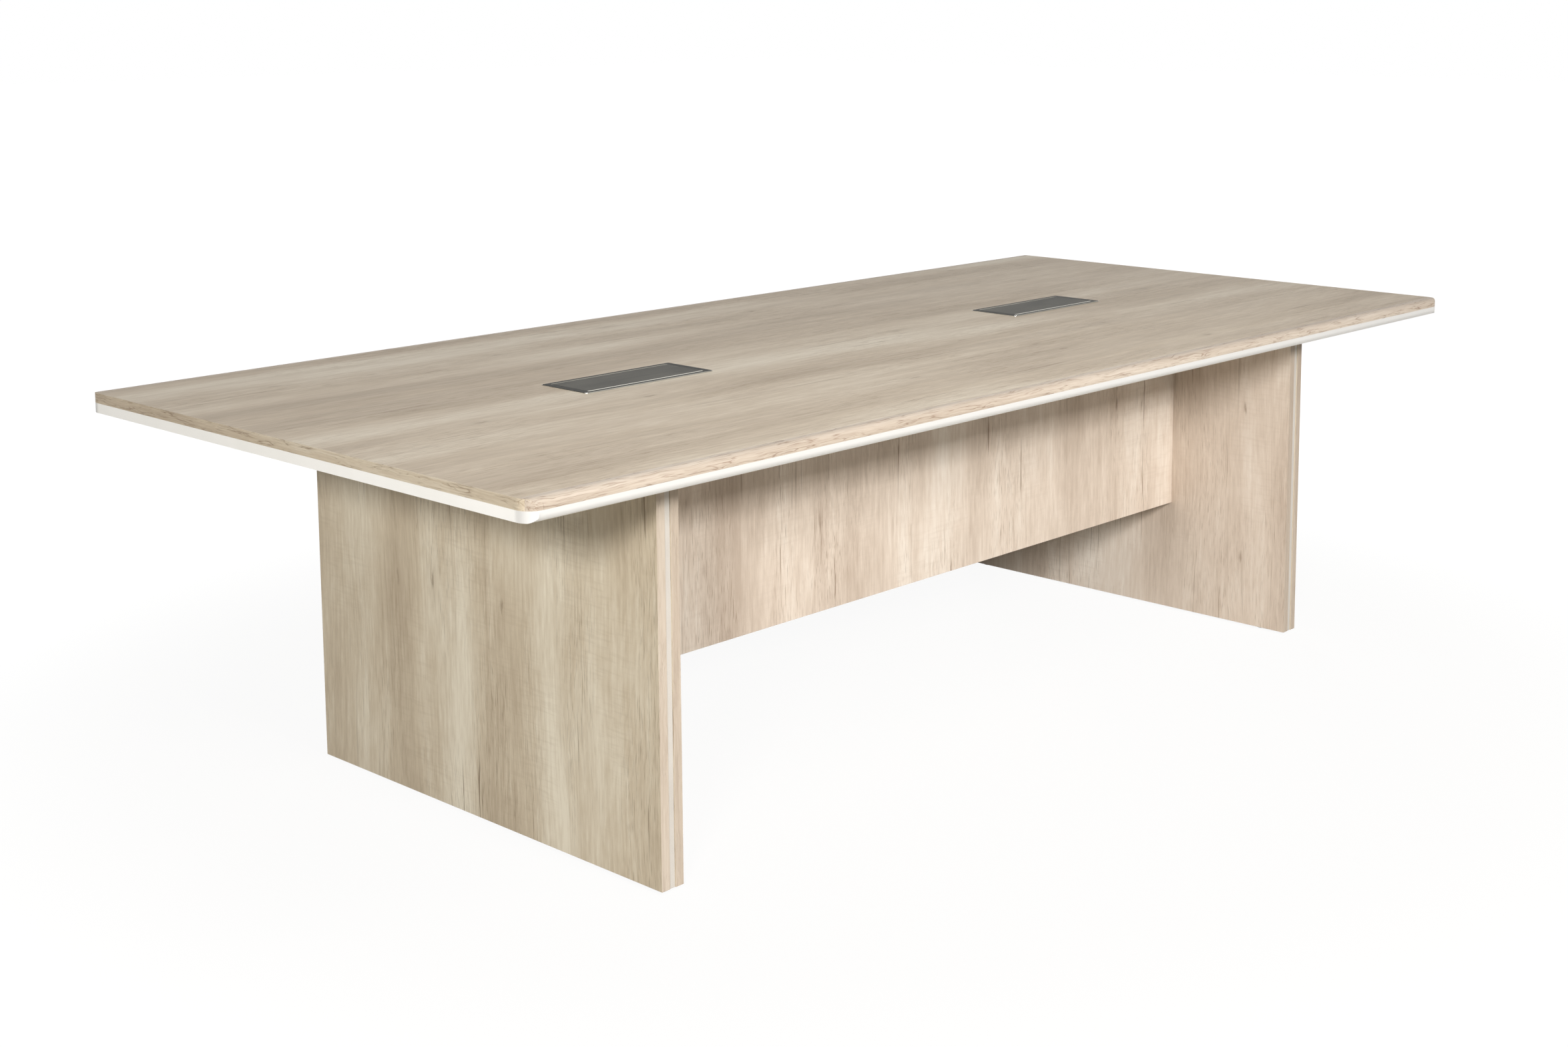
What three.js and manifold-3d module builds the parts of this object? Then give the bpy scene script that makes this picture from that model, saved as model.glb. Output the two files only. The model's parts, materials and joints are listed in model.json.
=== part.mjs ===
// Conference table: a wood-look top on a white under board, two sandwich panel legs,
// a hollow cable spine between them and two flush power boxes with flip-up lids.
// Millimetres, +Z up, X along the table. The origin is on the floor under the middle of the top.

import * as THREE from 'three';
import { mergeVertices } from 'three/addons/utils/BufferGeometryUtils.js';
import Module from 'manifold-3d';

const wasm = await Module();
wasm.setup();

// Fits and fineness
const fitGap = 0.3;
const arcSteps = 8;
const roundSteps = 16;
const weldDistance = 1e-4;

// Top
const tableLength = 2700;
const tableWidth = 1250;
const tableHeight = 750;
const topBoardThickness = 18;
const underBoardThickness = 18;
const cornerRadius = 28;
const edgeRound = 16;
const underRound = 12;
const edgeLand = 2;
const lippingWidth = 25;
const endBandThickness = 2;

// Legs, each two wood panels with a white core between them
const legSpan = 1960;
const legDepth = 960;
const legPanelThickness = 18;
const legCoreThickness = 12;
const legCoreSetback = 1.5;

// Glides under the legs
const glideHeight = 4;
const glideRadius = 15;
const glideChamfer = 1.5;
const glidePinRadius = 3;
const glidePinLength = 16;
const glideInset = 70;

// Cable spine between the legs
const spineWidth = 332;
const spineBottom = 260;
const spinePanelThickness = 18;
const shelfThickness = 18;
const shelfRise = 20;
const shelfSlotLength = 160;
const shelfSlotWidth = 80;
const battenSize = 25;

// Steel angles that hold the legs to the under board
const angleFlange = 50;
const angleThickness = 3;
const angleWidth = 60;
const anglePlace = 320;
const angleHolePlace = 30;
const screwHeadRadius = 6;
const screwHeadHeight = 3.5;
const screwDomeRadius = 4.2;
const screwDomeHeight = 2;
const screwShankRadius = 2.5;
const screwLength = 17;
const screwTip = 2.5;
const screwEndGap = 1.5;

// Power box frames and lids
const boxPlace = 615;
const frameLength = 312;
const frameWidth = 127;
const frameRise = 2;
const frameCorner = 4;
const frameEndBar = 14;
const frameSideBar = 10;
const frameEndLip = 6;
const frameSideLip = 4;
const frameDepth = 30;
const frameOpeningCorner = 2;
const ledgeWidth = 2;
const ledgeDrop = 15;
const cutoutGap = 0.5;
const lidThickness = 5;
const lidEndGap = 1;
const lidRearGap = 1;
const fingerGap = 2;
const lidChamfer = 1.2;
const hingeInset = 3.2;
const hingeRodRadius = 1.5;
const hingeSeatWall = 1;

// Power box trays and what they hold
const trayDepth = 100;
const trayWall = 1.5;
const lidTabWidth = 12;
const trayOutletLength = 60;
const trayOutletWidth = 26;
const channelWidth = 62;
const channelHeight = 53;
const channelWall = 1.5;
const moduleDepth = 46;
const modulePitchGap = 4;
const moduleRim = 2;
const moduleFace = 2;
const moduleBody = 26;
const powerModuleLength = 46;
const powerModuleCount = 3;
const powerWellRadius = 19;
const powerWellDepth = 12;
const powerPinRadius = 2.5;
const powerPinSpacing = 19;
const powerPinDepth = 9;
const dataModuleLength = 24;
const dataModuleCount = 2;
const dataPortLength = 14;
const dataPortWidth = 12;
const dataPortDepth = 14;
const inletWidth = 27;
const inletHeight = 20;
const inletLength = 22;
const inletRim = 4;
const inletFace = 2;
const inletWall = 2.5;
const inletWellDepth = 14;
const inletRise = 12;

// Places that follow from the sizes above
const topSurface = tableHeight;
const boardJoint = topSurface - topBoardThickness;
const underside = boardJoint - underBoardThickness;
const halfLength = tableLength / 2;
const halfWidth = tableWidth / 2;
const legOuter = legSpan / 2;
const legCoreOuter = legOuter - legPanelThickness;
const legCoreInner = legCoreOuter - legCoreThickness;
const legInner = legCoreInner - legPanelThickness;
const spineOuter = spineWidth / 2;
const spineInner = spineOuter - spinePanelThickness;
const shelfBottom = spineBottom + shelfRise;
const shelfTop = shelfBottom + shelfThickness;
const legHeights = [glideHeight, underside];
const legHalf = legDepth / 2;
const coreHalf = legHalf - legCoreSetback;
const glideX = (legCoreOuter + legCoreInner) / 2;
const glideY = legHalf - glideInset;
const topScrewX = legInner - angleHolePlace;
const legScrewZ = underside - angleHolePlace;
const screwHoleRadius = screwShankRadius + fitGap;
const screwHoleDepth = screwLength - angleThickness + screwEndGap;

// Finishes
const finishes = {
  oak_top: { color: 0xc4b8a4, roughness: 0.55, metalness: 0 },
  oak_edge: { color: 0xdccbb5, roughness: 0.5, metalness: 0 },
  oak_panel: { color: 0xc6b9a3, roughness: 0.55, metalness: 0 },
  white_board: { color: 0xeceae3, roughness: 0.45, metalness: 0 },
  raw_board: { color: 0xc9ac84, roughness: 0.8, metalness: 0 },
  zinc_steel: { color: 0xa9acae, roughness: 0.35, metalness: 1 },
  grey_metal: { color: 0x5f5e58, roughness: 0.4, metalness: 0.8 },
  lid_metal: { color: 0x706e67, roughness: 0.35, metalness: 0.9 },
  black_plastic: { color: 0x1d1d1f, roughness: 0.5, metalness: 0 },
  white_plastic: { color: 0xe6e6e2, roughness: 0.4, metalness: 0 },
};
const materials = {};
for (const [name, look] of Object.entries(finishes)) {
  materials[name] = new THREE.MeshStandardMaterial({ name, ...look });
}

// Geometry to solid and back, for joins and cuts

function solidOf(geometry) {
  const bare = geometry.clone();
  bare.deleteAttribute('normal');
  bare.deleteAttribute('uv');
  const merged = mergeVertices(bare, weldDistance);
  const index = merged.index.array;
  const triangles = [];
  for (let i = 0; i < index.length; i += 3) {
    const [a, b, c] = [index[i], index[i + 1], index[i + 2]];
    if (a !== b && b !== c && c !== a) {
      triangles.push(a, b, c);
    }
  }
  const vertProperties = Float32Array.from(merged.attributes.position.array);
  const triVerts = Uint32Array.from(triangles);
  return new wasm.Manifold(new wasm.Mesh({ numProp: 3, vertProperties, triVerts }));
}

function geometryOf(solid) {
  const mesh = solid.getMesh();
  const positions = new Float32Array(mesh.numVert * 3);
  for (let v = 0; v < mesh.numVert; v += 1) {
    for (let k = 0; k < 3; k += 1) {
      positions[v * 3 + k] = mesh.vertProperties[v * mesh.numProp + k];
    }
  }
  const geometry = new THREE.BufferGeometry();
  geometry.setAttribute('position', new THREE.BufferAttribute(positions, 3));
  geometry.setIndex(new THREE.BufferAttribute(Uint32Array.from(mesh.triVerts), 1));
  geometry.computeVertexNormals();
  return geometry;
}

// Basic solids, placed by the range they fill on each axis

function block(x, y, z) {
  const geometry = new THREE.BoxGeometry(x[1] - x[0], y[1] - y[0], z[1] - z[0]);
  geometry.translate((x[0] + x[1]) / 2, (y[0] + y[1]) / 2, (z[0] + z[1]) / 2);
  return solidOf(geometry);
}

// A plan outline, drawn in X and Y, raised over a range of Z
function prismUp(outline, z) {
  const options = { depth: z[1] - z[0], bevelEnabled: false, curveSegments: arcSteps / 2 };
  const geometry = new THREE.ExtrudeGeometry(outline, options);
  geometry.translate(0, 0, z[0]);
  return solidOf(geometry);
}

// A section, drawn in Y and Z, run along a range of X
function prismAlong(section, x) {
  const options = { depth: x[1] - x[0], bevelEnabled: false, curveSegments: arcSteps / 2 };
  const geometry = new THREE.ExtrudeGeometry(section, options);
  const turn = new THREE.Matrix4().makeBasis(
    new THREE.Vector3(0, 1, 0),
    new THREE.Vector3(0, 0, 1),
    new THREE.Vector3(1, 0, 0),
  );
  geometry.applyMatrix4(turn);
  geometry.translate(x[0], 0, 0);
  return solidOf(geometry);
}

// A round bar along X
function barAlong(radius, x, y, z) {
  const geometry = new THREE.CylinderGeometry(radius, radius, x[1] - x[0], roundSteps);
  geometry.rotateZ(Math.PI / 2);
  geometry.translate((x[0] + x[1]) / 2, y, z);
  return solidOf(geometry);
}

// A round bar along Z
function barUp(radius, x, y, z) {
  const geometry = new THREE.CylinderGeometry(radius, radius, z[1] - z[0], roundSteps);
  geometry.rotateX(Math.PI / 2);
  geometry.translate(x, y, (z[0] + z[1]) / 2);
  return solidOf(geometry);
}

// A turned piece about Z, from radius and height pairs that start and end on the axis
function turned(profile) {
  const points = profile.map(([radius, height]) => new THREE.Vector2(radius, height));
  const geometry = new THREE.LatheGeometry(points, roundSteps);
  geometry.rotateX(Math.PI / 2);
  return geometry;
}

// Outlines

function roundedRectangle(length, width, radius) {
  const x = length / 2;
  const y = width / 2;
  const outline = new THREE.Shape();
  outline.moveTo(-x + radius, -y);
  outline.lineTo(x - radius, -y);
  outline.absarc(x - radius, -y + radius, radius, -Math.PI / 2, 0, false);
  outline.lineTo(x, y - radius);
  outline.absarc(x - radius, y - radius, radius, 0, Math.PI / 2, false);
  outline.lineTo(-x + radius, y);
  outline.absarc(-x + radius, y - radius, radius, Math.PI / 2, Math.PI, false);
  outline.lineTo(-x, -y + radius);
  outline.absarc(-x + radius, -y + radius, radius, Math.PI, Math.PI * 1.5, false);
  return outline;
}

function polygon(points) {
  return new THREE.Shape(points.map(([x, y]) => new THREE.Vector2(x, y)));
}

// Points of a round corner about a centre, from one angle to another
function arcPoints(centre, radius, from, to) {
  const points = [];
  for (let i = 0; i <= arcSteps; i += 1) {
    const angle = from + ((to - from) * i) / arcSteps;
    points.push([centre[0] + radius * Math.cos(angle), centre[1] + radius * Math.sin(angle)]);
  }
  return points;
}

// A quarter of an outline, drawn for +X and -Y, mirrored to all four
function fourQuarters(quarter) {
  const right = [...quarter];
  for (const [x, y] of [...quarter].reverse()) {
    right.push([x, -y]);
  }
  const left = [...right].reverse().map(([x, y]) => [-x, y]);
  return polygon([...right, ...left]);
}

// The table top

// Cross section of the wood layer, rounded over along both long edges
function woodSection() {
  const round = Math.min(edgeRound, topBoardThickness - edgeLand);
  const rightRound = arcPoints([halfWidth - round, topSurface - round], round, 0, Math.PI / 2);
  const leftRound = [...rightRound].reverse().map(([y, z]) => [-y, z]);
  return polygon([[-halfWidth, boardJoint], [halfWidth, boardJoint], ...rightRound, ...leftRound]);
}

// Cross section of the white layer, rounded under along both long edges
function whiteSection() {
  const round = Math.min(underRound, underBoardThickness - edgeLand);
  const centre = [halfWidth - round, underside + round];
  const rightRound = arcPoints(centre, round, -Math.PI / 2, 0);
  const leftRound = [...rightRound].reverse().map(([y, z]) => [-y, z]);
  return polygon([...rightRound, [halfWidth, boardJoint], [-halfWidth, boardJoint], ...leftRound]);
}

const cornerX = halfLength - cornerRadius;
const cornerY = halfWidth - cornerRadius;
const bandSeat = endBandThickness + fitGap;

// Plan of the wood layer without its end bands, which lie in a rebate round each corner
function woodPlan() {
  const stepX = cornerX - fitGap;
  const corner = arcPoints([cornerX, -cornerY], cornerRadius - bandSeat, -Math.PI / 2, 0);
  return fourQuarters([[stepX, -halfWidth], [stepX, -halfWidth + bandSeat], ...corner]);
}

// Plan of the right end band, from the front round the end to the rear
function bandPlan() {
  const outer = arcPoints([cornerX, -cornerY], cornerRadius, -Math.PI / 2, 0);
  const inner = arcPoints([cornerX, -cornerY], cornerRadius - endBandThickness, -Math.PI / 2, 0);
  const rearOuter = [...outer].reverse().map(([x, y]) => [x, -y]);
  const rearInner = [...inner].reverse().map(([x, y]) => [x, -y]);
  return polygon([...outer, ...rearOuter, ...rearInner.reverse(), ...inner.reverse()]);
}

const woodHeights = [boardJoint, topSurface];
const whiteHeights = [underside, boardJoint];
const pastEnds = [-tableLength, tableLength];
const woodRoundOver = prismAlong(woodSection(), pastEnds);
const woodBlank = prismUp(woodPlan(), woodHeights).intersect(woodRoundOver);
const lippingInner = halfWidth - lippingWidth;

// Hole in both boards for the neck of a power box frame
const neckLength = frameLength - 2 * frameEndLip;
const neckWidth = frameWidth - 2 * frameSideLip;
const cutoutLength = neckLength + 2 * cutoutGap;
const cutoutWidth = neckWidth + 2 * cutoutGap;

function boxCutout(side) {
  const outline = roundedRectangle(cutoutLength, cutoutWidth, frameCorner);
  const cutter = prismUp(outline, [underside - fitGap, topSurface + fitGap]);
  return cutter.translate([side * boxPlace, 0, 0]);
}

function topBoard() {
  const middle = block(pastEnds, [-lippingInner, lippingInner], woodHeights);
  return woodBlank.intersect(middle).subtract(boxCutout(-1)).subtract(boxCutout(1));
}

function lipping(side) {
  const edges = [side * lippingInner, side * halfWidth].sort((a, b) => a - b);
  return woodBlank.intersect(block(pastEnds, edges, woodHeights));
}

function endBand(side) {
  const band = prismUp(bandPlan(), woodHeights).intersect(woodRoundOver);
  return side > 0 ? band : band.mirror([1, 0, 0]);
}

function underBoard() {
  const plan = prismUp(roundedRectangle(tableLength, tableWidth, cornerRadius), whiteHeights);
  let board = plan.intersect(prismAlong(whiteSection(), pastEnds));
  for (const side of [-1, 1]) {
    board = board.subtract(boxCutout(side));
    for (const end of [-1, 1]) {
      const hole = [underside - fitGap, underside + screwHoleDepth];
      board = board.subtract(barUp(screwHoleRadius, side * topScrewX, end * anglePlace, hole));
    }
  }
  return board;
}

// The legs, drawn for the right side and mirrored to the left

function toSide(solid, side) {
  return side > 0 ? solid : solid.mirror([1, 0, 0]);
}

function legOuterPanel(side) {
  return toSide(block([legCoreOuter, legOuter], [-legHalf, legHalf], legHeights), side);
}

function legCore(side) {
  let core = block([legCoreInner, legCoreOuter], [-coreHalf, coreHalf], legHeights);
  const hole = [glideHeight - fitGap, glideHeight + glidePinLength + fitGap];
  for (const end of [-1, 1]) {
    core = core.subtract(barUp(glidePinRadius + fitGap, glideX, end * glideY, hole));
  }
  return toSide(core, side);
}

function legInnerPanel(side) {
  let panel = block([legInner, legCoreInner], [-legHalf, legHalf], legHeights);
  const hole = [legInner - fitGap, legInner + screwHoleDepth];
  for (const end of [-1, 1]) {
    panel = panel.subtract(barAlong(screwHoleRadius, hole, end * anglePlace, legScrewZ));
  }
  return toSide(panel, side);
}

// Glide with its pin, resting on the floor
function glide() {
  return turned([
    [0, 0],
    [glideRadius - glideChamfer, 0],
    [glideRadius, glideChamfer],
    [glideRadius, glideHeight],
    [glidePinRadius, glideHeight],
    [glidePinRadius, glideHeight + glidePinLength],
    [0, glideHeight + glidePinLength],
  ]);
}

// Steel angle in the corner between a leg and the under board
function legAngle(side, end) {
  const width = [end * anglePlace - angleWidth / 2, end * anglePlace + angleWidth / 2];
  const reachX = legInner - angleFlange;
  const reachZ = underside - angleFlange;
  const section = block([legInner - angleThickness, legInner], width, [reachZ, underside]);
  const shelf = block([reachX, legInner], width, [underside - angleThickness, underside]);
  const upHole = [underside - angleThickness - fitGap, underside + fitGap];
  const sideHole = [legInner - angleThickness - fitGap, legInner + fitGap];
  const angle = section
    .add(shelf)
    .subtract(barUp(screwHoleRadius, topScrewX, end * anglePlace, upHole))
    .subtract(barAlong(screwHoleRadius, sideHole, end * anglePlace, legScrewZ));
  return toSide(angle, side);
}

// Pan head screw, head down, with the underside of its head at height 0
function panScrew() {
  return turned([
    [0, -screwHeadHeight],
    [screwDomeRadius, -screwHeadHeight],
    [screwHeadRadius, screwDomeHeight - screwHeadHeight],
    [screwHeadRadius, 0],
    [screwShankRadius, 0],
    [screwShankRadius, screwLength - screwTip],
    [0, screwLength],
  ]);
}

// The cable spine

function spinePanel(side) {
  const faces = [side * spineInner, side * spineOuter].sort((a, b) => a - b);
  return block([-legInner, legInner], faces, [spineBottom, underside]);
}

function cableShelf() {
  const shelf = block([-legInner, legInner], [-spineInner, spineInner], [shelfBottom, shelfTop]);
  const slot = roundedRectangle(shelfSlotLength, shelfSlotWidth, shelfSlotWidth / 2 - fitGap);
  return shelf.subtract(prismUp(slot, [shelfBottom - fitGap, shelfTop + fitGap]));
}

function spineBatten(side, end) {
  const y = [end * (spineInner - battenSize), end * spineInner].sort((a, b) => a - b);
  return toSide(block([legInner - battenSize, legInner], y, [shelfTop, underside]), side);
}

// A power box, drawn about its own middle and moved to its place

const openingLength = frameLength - 2 * frameEndBar;
const openingWidth = frameWidth - 2 * frameSideBar;
const openingX = openingLength / 2;
const openingY = openingWidth / 2;
const frameTop = topSurface + frameRise;
const frameBottom = topSurface - frameDepth;
const lidRear = openingY - lidRearGap;
const lidFront = -openingY + fingerGap;
const lidX = openingX - lidEndGap;
const lidBottom = frameTop - lidThickness;
const hingeY = lidRear - hingeInset;
const hingeZ = frameTop - lidThickness / 2;
const hingeRodEnd = neckLength / 2 - hingeSeatWall;
const hingeBore = hingeRodRadius + fitGap;
const ledgeZ = frameTop - ledgeDrop;
const throatX = openingX - ledgeWidth;
const throatY = openingY - ledgeWidth;

// Rim on the table top, with a neck through both boards and a ledge inside it for the tray
function boxFrame() {
  const opening = roundedRectangle(openingLength, openingWidth, frameOpeningCorner);
  const throat = roundedRectangle(2 * throatX, 2 * throatY, frameOpeningCorner);
  const rim = roundedRectangle(frameLength, frameWidth, frameCorner);
  const neck = roundedRectangle(neckLength, neckWidth, frameCorner - cutoutGap);
  let frame = prismUp(rim, [topSurface, frameTop]).add(prismUp(neck, [frameBottom, frameTop]));
  frame = frame.subtract(prismUp(opening, [ledgeZ, frameTop + fitGap]));
  frame = frame.subtract(prismUp(throat, [frameBottom - fitGap, ledgeZ + fitGap]));
  for (const end of [-1, 1]) {
    const seat = [end * (openingX - fitGap), end * (hingeRodEnd + fitGap)].sort((a, b) => a - b);
    frame = frame.subtract(barAlong(hingeBore, seat, hingeY, hingeZ));
  }
  return frame;
}

function boxLid() {
  const section = polygon([
    [lidFront, lidBottom],
    [lidRear, lidBottom],
    [lidRear, frameTop - lidChamfer],
    [lidRear - lidChamfer, frameTop],
    [lidFront + lidChamfer, frameTop],
    [lidFront, frameTop - lidChamfer],
  ]);
  const pastLid = [-lidX - fitGap, lidX + fitGap];
  return prismAlong(section, [-lidX, lidX]).subtract(barAlong(hingeBore, pastLid, hingeY, hingeZ));
}

function hingeRod() {
  return barAlong(hingeRodRadius, [-hingeRodEnd, hingeRodEnd], hingeY, hingeZ);
}

const trayTop = ledgeZ + trayWall;
const trayBottom = trayTop - trayDepth;
const trayFloor = trayBottom + trayWall;
const trayX = throatX - fitGap;
const trayY = throatY - fitGap;
const trayInnerX = trayX - trayWall;
const trayInnerY = trayY - trayWall;
const trayCorner = frameOpeningCorner - fitGap;
const lidTabTop = lidBottom - fitGap;
const channelRear = trayInnerY - fitGap;
const channelFront = channelRear - channelWidth;
const channelTop = trayFloor + channelHeight;
const channelX = trayInnerX - fitGap;
const moduleY = (channelRear + channelFront) / 2;
const wellY = (channelFront - trayInnerY) / 2;
const inletZ = trayFloor + inletRise + inletHeight / 2;
const inletBodyWidth = [moduleY - inletWidth / 2, moduleY + inletWidth / 2];
const inletBodyHeight = [inletZ - inletHeight / 2, inletZ + inletHeight / 2];

function grown(range, by) {
  return [range[0] - by, range[1] + by];
}

// Steel tray whose rim lies on the frame's ledge, with a tab at each end for the lid to rest on,
// a hole for the inlet and one for cables in its floor
function boxTray() {
  const outer = prismUp(roundedRectangle(2 * trayX, 2 * trayY, trayCorner), [trayBottom, trayTop]);
  const rimLength = openingLength - 2 * fitGap;
  const rimWidth = openingWidth - 2 * fitGap;
  const rim = prismUp(roundedRectangle(rimLength, rimWidth, trayCorner), [ledgeZ, trayTop]);
  let tray = outer.add(rim);
  for (const end of [-1, 1]) {
    const wall = [end * trayInnerX, end * trayX].sort((a, b) => a - b);
    tray = tray.add(block(wall, [-trayInnerY, -trayInnerY + lidTabWidth], [ledgeZ, lidTabTop]));
  }
  const inside = block(
    [-trayInnerX, trayInnerX],
    [-trayInnerY, trayInnerY],
    [trayFloor, lidTabTop + fitGap],
  );
  const inletHole = block(
    [trayInnerX - fitGap, trayX + fitGap],
    grown(inletBodyWidth, fitGap),
    grown(inletBodyHeight, fitGap),
  );
  const outlet = block(
    [-trayOutletLength / 2, trayOutletLength / 2],
    [wellY - trayOutletWidth / 2, wellY + trayOutletWidth / 2],
    [trayBottom - fitGap, trayFloor + fitGap],
  );
  return tray.subtract(inside).subtract(inletHole).subtract(outlet);
}

// Socket modules in a row, each with its middle and length along X
function moduleRow() {
  const lengths = [
    ...Array(powerModuleCount).fill(powerModuleLength),
    ...Array(dataModuleCount).fill(dataModuleLength),
  ];
  const total = lengths.reduce((sum, length) => sum + length + modulePitchGap, -modulePitchGap);
  const row = [];
  let start = -total / 2;
  for (const length of lengths) {
    row.push({ length, middle: start + length / 2 });
    start += length + modulePitchGap;
  }
  return row;
}

function moduleRanges(module, shrink) {
  const halfModule = module.length / 2 - shrink;
  const halfDepth = moduleDepth / 2 - shrink;
  return [
    [module.middle - halfModule, module.middle + halfModule],
    [moduleY - halfDepth, moduleY + halfDepth],
  ];
}

// Folded channel that stands on the tray floor and carries the sockets
function socketPlate() {
  const section = polygon([
    [channelFront, trayFloor],
    [channelFront + channelWall, trayFloor],
    [channelFront + channelWall, channelTop - channelWall],
    [channelRear - channelWall, channelTop - channelWall],
    [channelRear - channelWall, trayFloor],
    [channelRear, trayFloor],
    [channelRear, channelTop],
    [channelFront, channelTop],
  ]);
  let plate = prismAlong(section, [-channelX, channelX]);
  for (const module of moduleRow()) {
    const [x, y] = moduleRanges(module, moduleRim - fitGap);
    plate = plate.subtract(block(x, y, [channelTop - channelWall - fitGap, channelTop + fitGap]));
  }
  return plate;
}

function moduleBlank(module) {
  const faceTop = channelTop + moduleFace;
  const face = block(...moduleRanges(module, 0), [channelTop, faceTop]);
  return face.add(block(...moduleRanges(module, moduleRim), [faceTop - moduleBody, faceTop]));
}

function powerSocket(module) {
  const faceTop = channelTop + moduleFace;
  const wellFloor = faceTop - powerWellDepth;
  const well = barUp(powerWellRadius, module.middle, moduleY, [wellFloor, faceTop + fitGap]);
  let socket = moduleBlank(module).subtract(well);
  for (const pin of [-1, 1]) {
    const x = module.middle + (pin * powerPinSpacing) / 2;
    const depth = [wellFloor - powerPinDepth, wellFloor + fitGap];
    socket = socket.subtract(barUp(powerPinRadius, x, moduleY, depth));
  }
  return socket;
}

function dataPort(module) {
  const faceTop = channelTop + moduleFace;
  const port = block(
    [module.middle - dataPortLength / 2, module.middle + dataPortLength / 2],
    [moduleY - dataPortWidth / 2, moduleY + dataPortWidth / 2],
    [faceTop - dataPortDepth, faceTop + fitGap],
  );
  return moduleBlank(module).subtract(port);
}

// Mains inlet in the tray's end wall, its rim outside
function mainsInlet() {
  const rimEnd = trayX + inletFace;
  const rim = block(
    [trayX, rimEnd],
    grown(inletBodyWidth, inletRim),
    grown(inletBodyHeight, inletRim),
  );
  const body = block([trayX - inletLength, rimEnd], inletBodyWidth, inletBodyHeight);
  const well = block(
    [rimEnd - inletWellDepth, rimEnd + fitGap],
    grown(inletBodyWidth, -inletWall),
    grown(inletBodyHeight, -inletWall),
  );
  return rim.add(body).subtract(well);
}

// Assembly

const table = new THREE.Group();
table.name = 'conference_table';

function place(parent, name, shape, finish) {
  const geometry = shape.isBufferGeometry ? shape : geometryOf(shape);
  const mesh = new THREE.Mesh(geometry, materials[finish]);
  mesh.name = name;
  parent.add(mesh);
  return mesh;
}

place(table, 'top_board', topBoard(), 'oak_top');
place(table, 'front_lipping', lipping(-1), 'oak_edge');
place(table, 'rear_lipping', lipping(1), 'oak_edge');
place(table, 'under_board', underBoard(), 'white_board');
place(table, 'front_spine_panel', spinePanel(-1), 'oak_panel');
place(table, 'rear_spine_panel', spinePanel(1), 'oak_panel');
place(table, 'cable_shelf', cableShelf(), 'white_board');

for (const [sideName, side] of [['left', -1], ['right', 1]]) {
  place(table, `${sideName}_end_band`, endBand(side), 'oak_edge');
  place(table, `${sideName}_leg_outer_panel`, legOuterPanel(side), 'oak_panel');
  place(table, `${sideName}_leg_core`, legCore(side), 'white_board');
  place(table, `${sideName}_leg_inner_panel`, legInnerPanel(side), 'oak_panel');

  for (const [endName, end] of [['front', -1], ['rear', 1]]) {
    const corner = `${sideName}_${endName}`;
    place(table, `${corner}_spine_batten`, spineBatten(side, end), 'raw_board');
    place(table, `${corner}_leg_angle`, legAngle(side, end), 'zinc_steel');

    const foot = place(table, `${corner}_glide`, glide(), 'black_plastic');
    foot.position.set(side * glideX, end * glideY, 0);

    const topScrew = place(table, `${corner}_top_screw`, panScrew(), 'zinc_steel');
    topScrew.position.set(side * topScrewX, end * anglePlace, underside - angleThickness);

    const legScrew = place(table, `${corner}_leg_screw`, panScrew(), 'zinc_steel');
    legScrew.position.set(side * (legInner - angleThickness), end * anglePlace, legScrewZ);
    legScrew.rotation.y = (side * Math.PI) / 2;
  }

  const box = new THREE.Group();
  box.position.set(side * boxPlace, 0, 0);
  table.add(box);
  const boxName = `${sideName}_box`;
  place(box, `${boxName}_frame`, boxFrame(), 'grey_metal');
  place(box, `${boxName}_lid`, boxLid(), 'lid_metal');
  place(box, `${boxName}_hinge_rod`, hingeRod(), 'zinc_steel');
  place(box, `${boxName}_tray`, toSide(boxTray(), -side), 'grey_metal');
  place(box, `${boxName}_socket_plate`, socketPlate(), 'grey_metal');
  place(box, `${boxName}_mains_inlet`, toSide(mainsInlet(), -side), 'black_plastic');
  moduleRow().forEach((module, i) => {
    if (i < powerModuleCount) {
      place(box, `${boxName}_power_socket_${i + 1}`, powerSocket(module), 'white_plastic');
    } else {
      place(box, `${boxName}_data_port_${i + 1 - powerModuleCount}`, dataPort(module), 'black_plastic');
    }
  });
}

export default table;
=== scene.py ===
# %% [markdown]
# # A conference table
# This lesson dresses a conference table that has already been designed as solids. The solids fix every
# size and place, and here each one gets a finely modelled stand-in with soft edges and a finish made of
# shader nodes. All lengths are metres, X runs along the table, and Z is up.

# %% Load the frame
import json
import math

import bmesh
import bpy
from mathutils import Matrix, Vector


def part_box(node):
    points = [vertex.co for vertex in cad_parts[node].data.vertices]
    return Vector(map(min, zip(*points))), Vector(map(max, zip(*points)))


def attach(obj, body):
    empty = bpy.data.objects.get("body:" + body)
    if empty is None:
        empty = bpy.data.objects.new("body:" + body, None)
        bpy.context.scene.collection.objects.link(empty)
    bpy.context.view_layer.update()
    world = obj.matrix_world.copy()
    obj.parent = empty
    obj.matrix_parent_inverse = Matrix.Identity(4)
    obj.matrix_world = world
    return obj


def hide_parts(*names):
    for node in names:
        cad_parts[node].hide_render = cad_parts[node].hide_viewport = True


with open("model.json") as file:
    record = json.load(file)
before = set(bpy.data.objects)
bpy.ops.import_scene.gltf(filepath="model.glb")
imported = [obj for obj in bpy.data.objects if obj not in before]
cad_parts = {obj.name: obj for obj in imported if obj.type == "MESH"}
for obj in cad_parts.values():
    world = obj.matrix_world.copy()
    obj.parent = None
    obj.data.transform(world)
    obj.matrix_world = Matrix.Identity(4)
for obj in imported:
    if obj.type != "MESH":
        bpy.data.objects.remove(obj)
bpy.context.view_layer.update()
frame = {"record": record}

MM = 0.001
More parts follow.
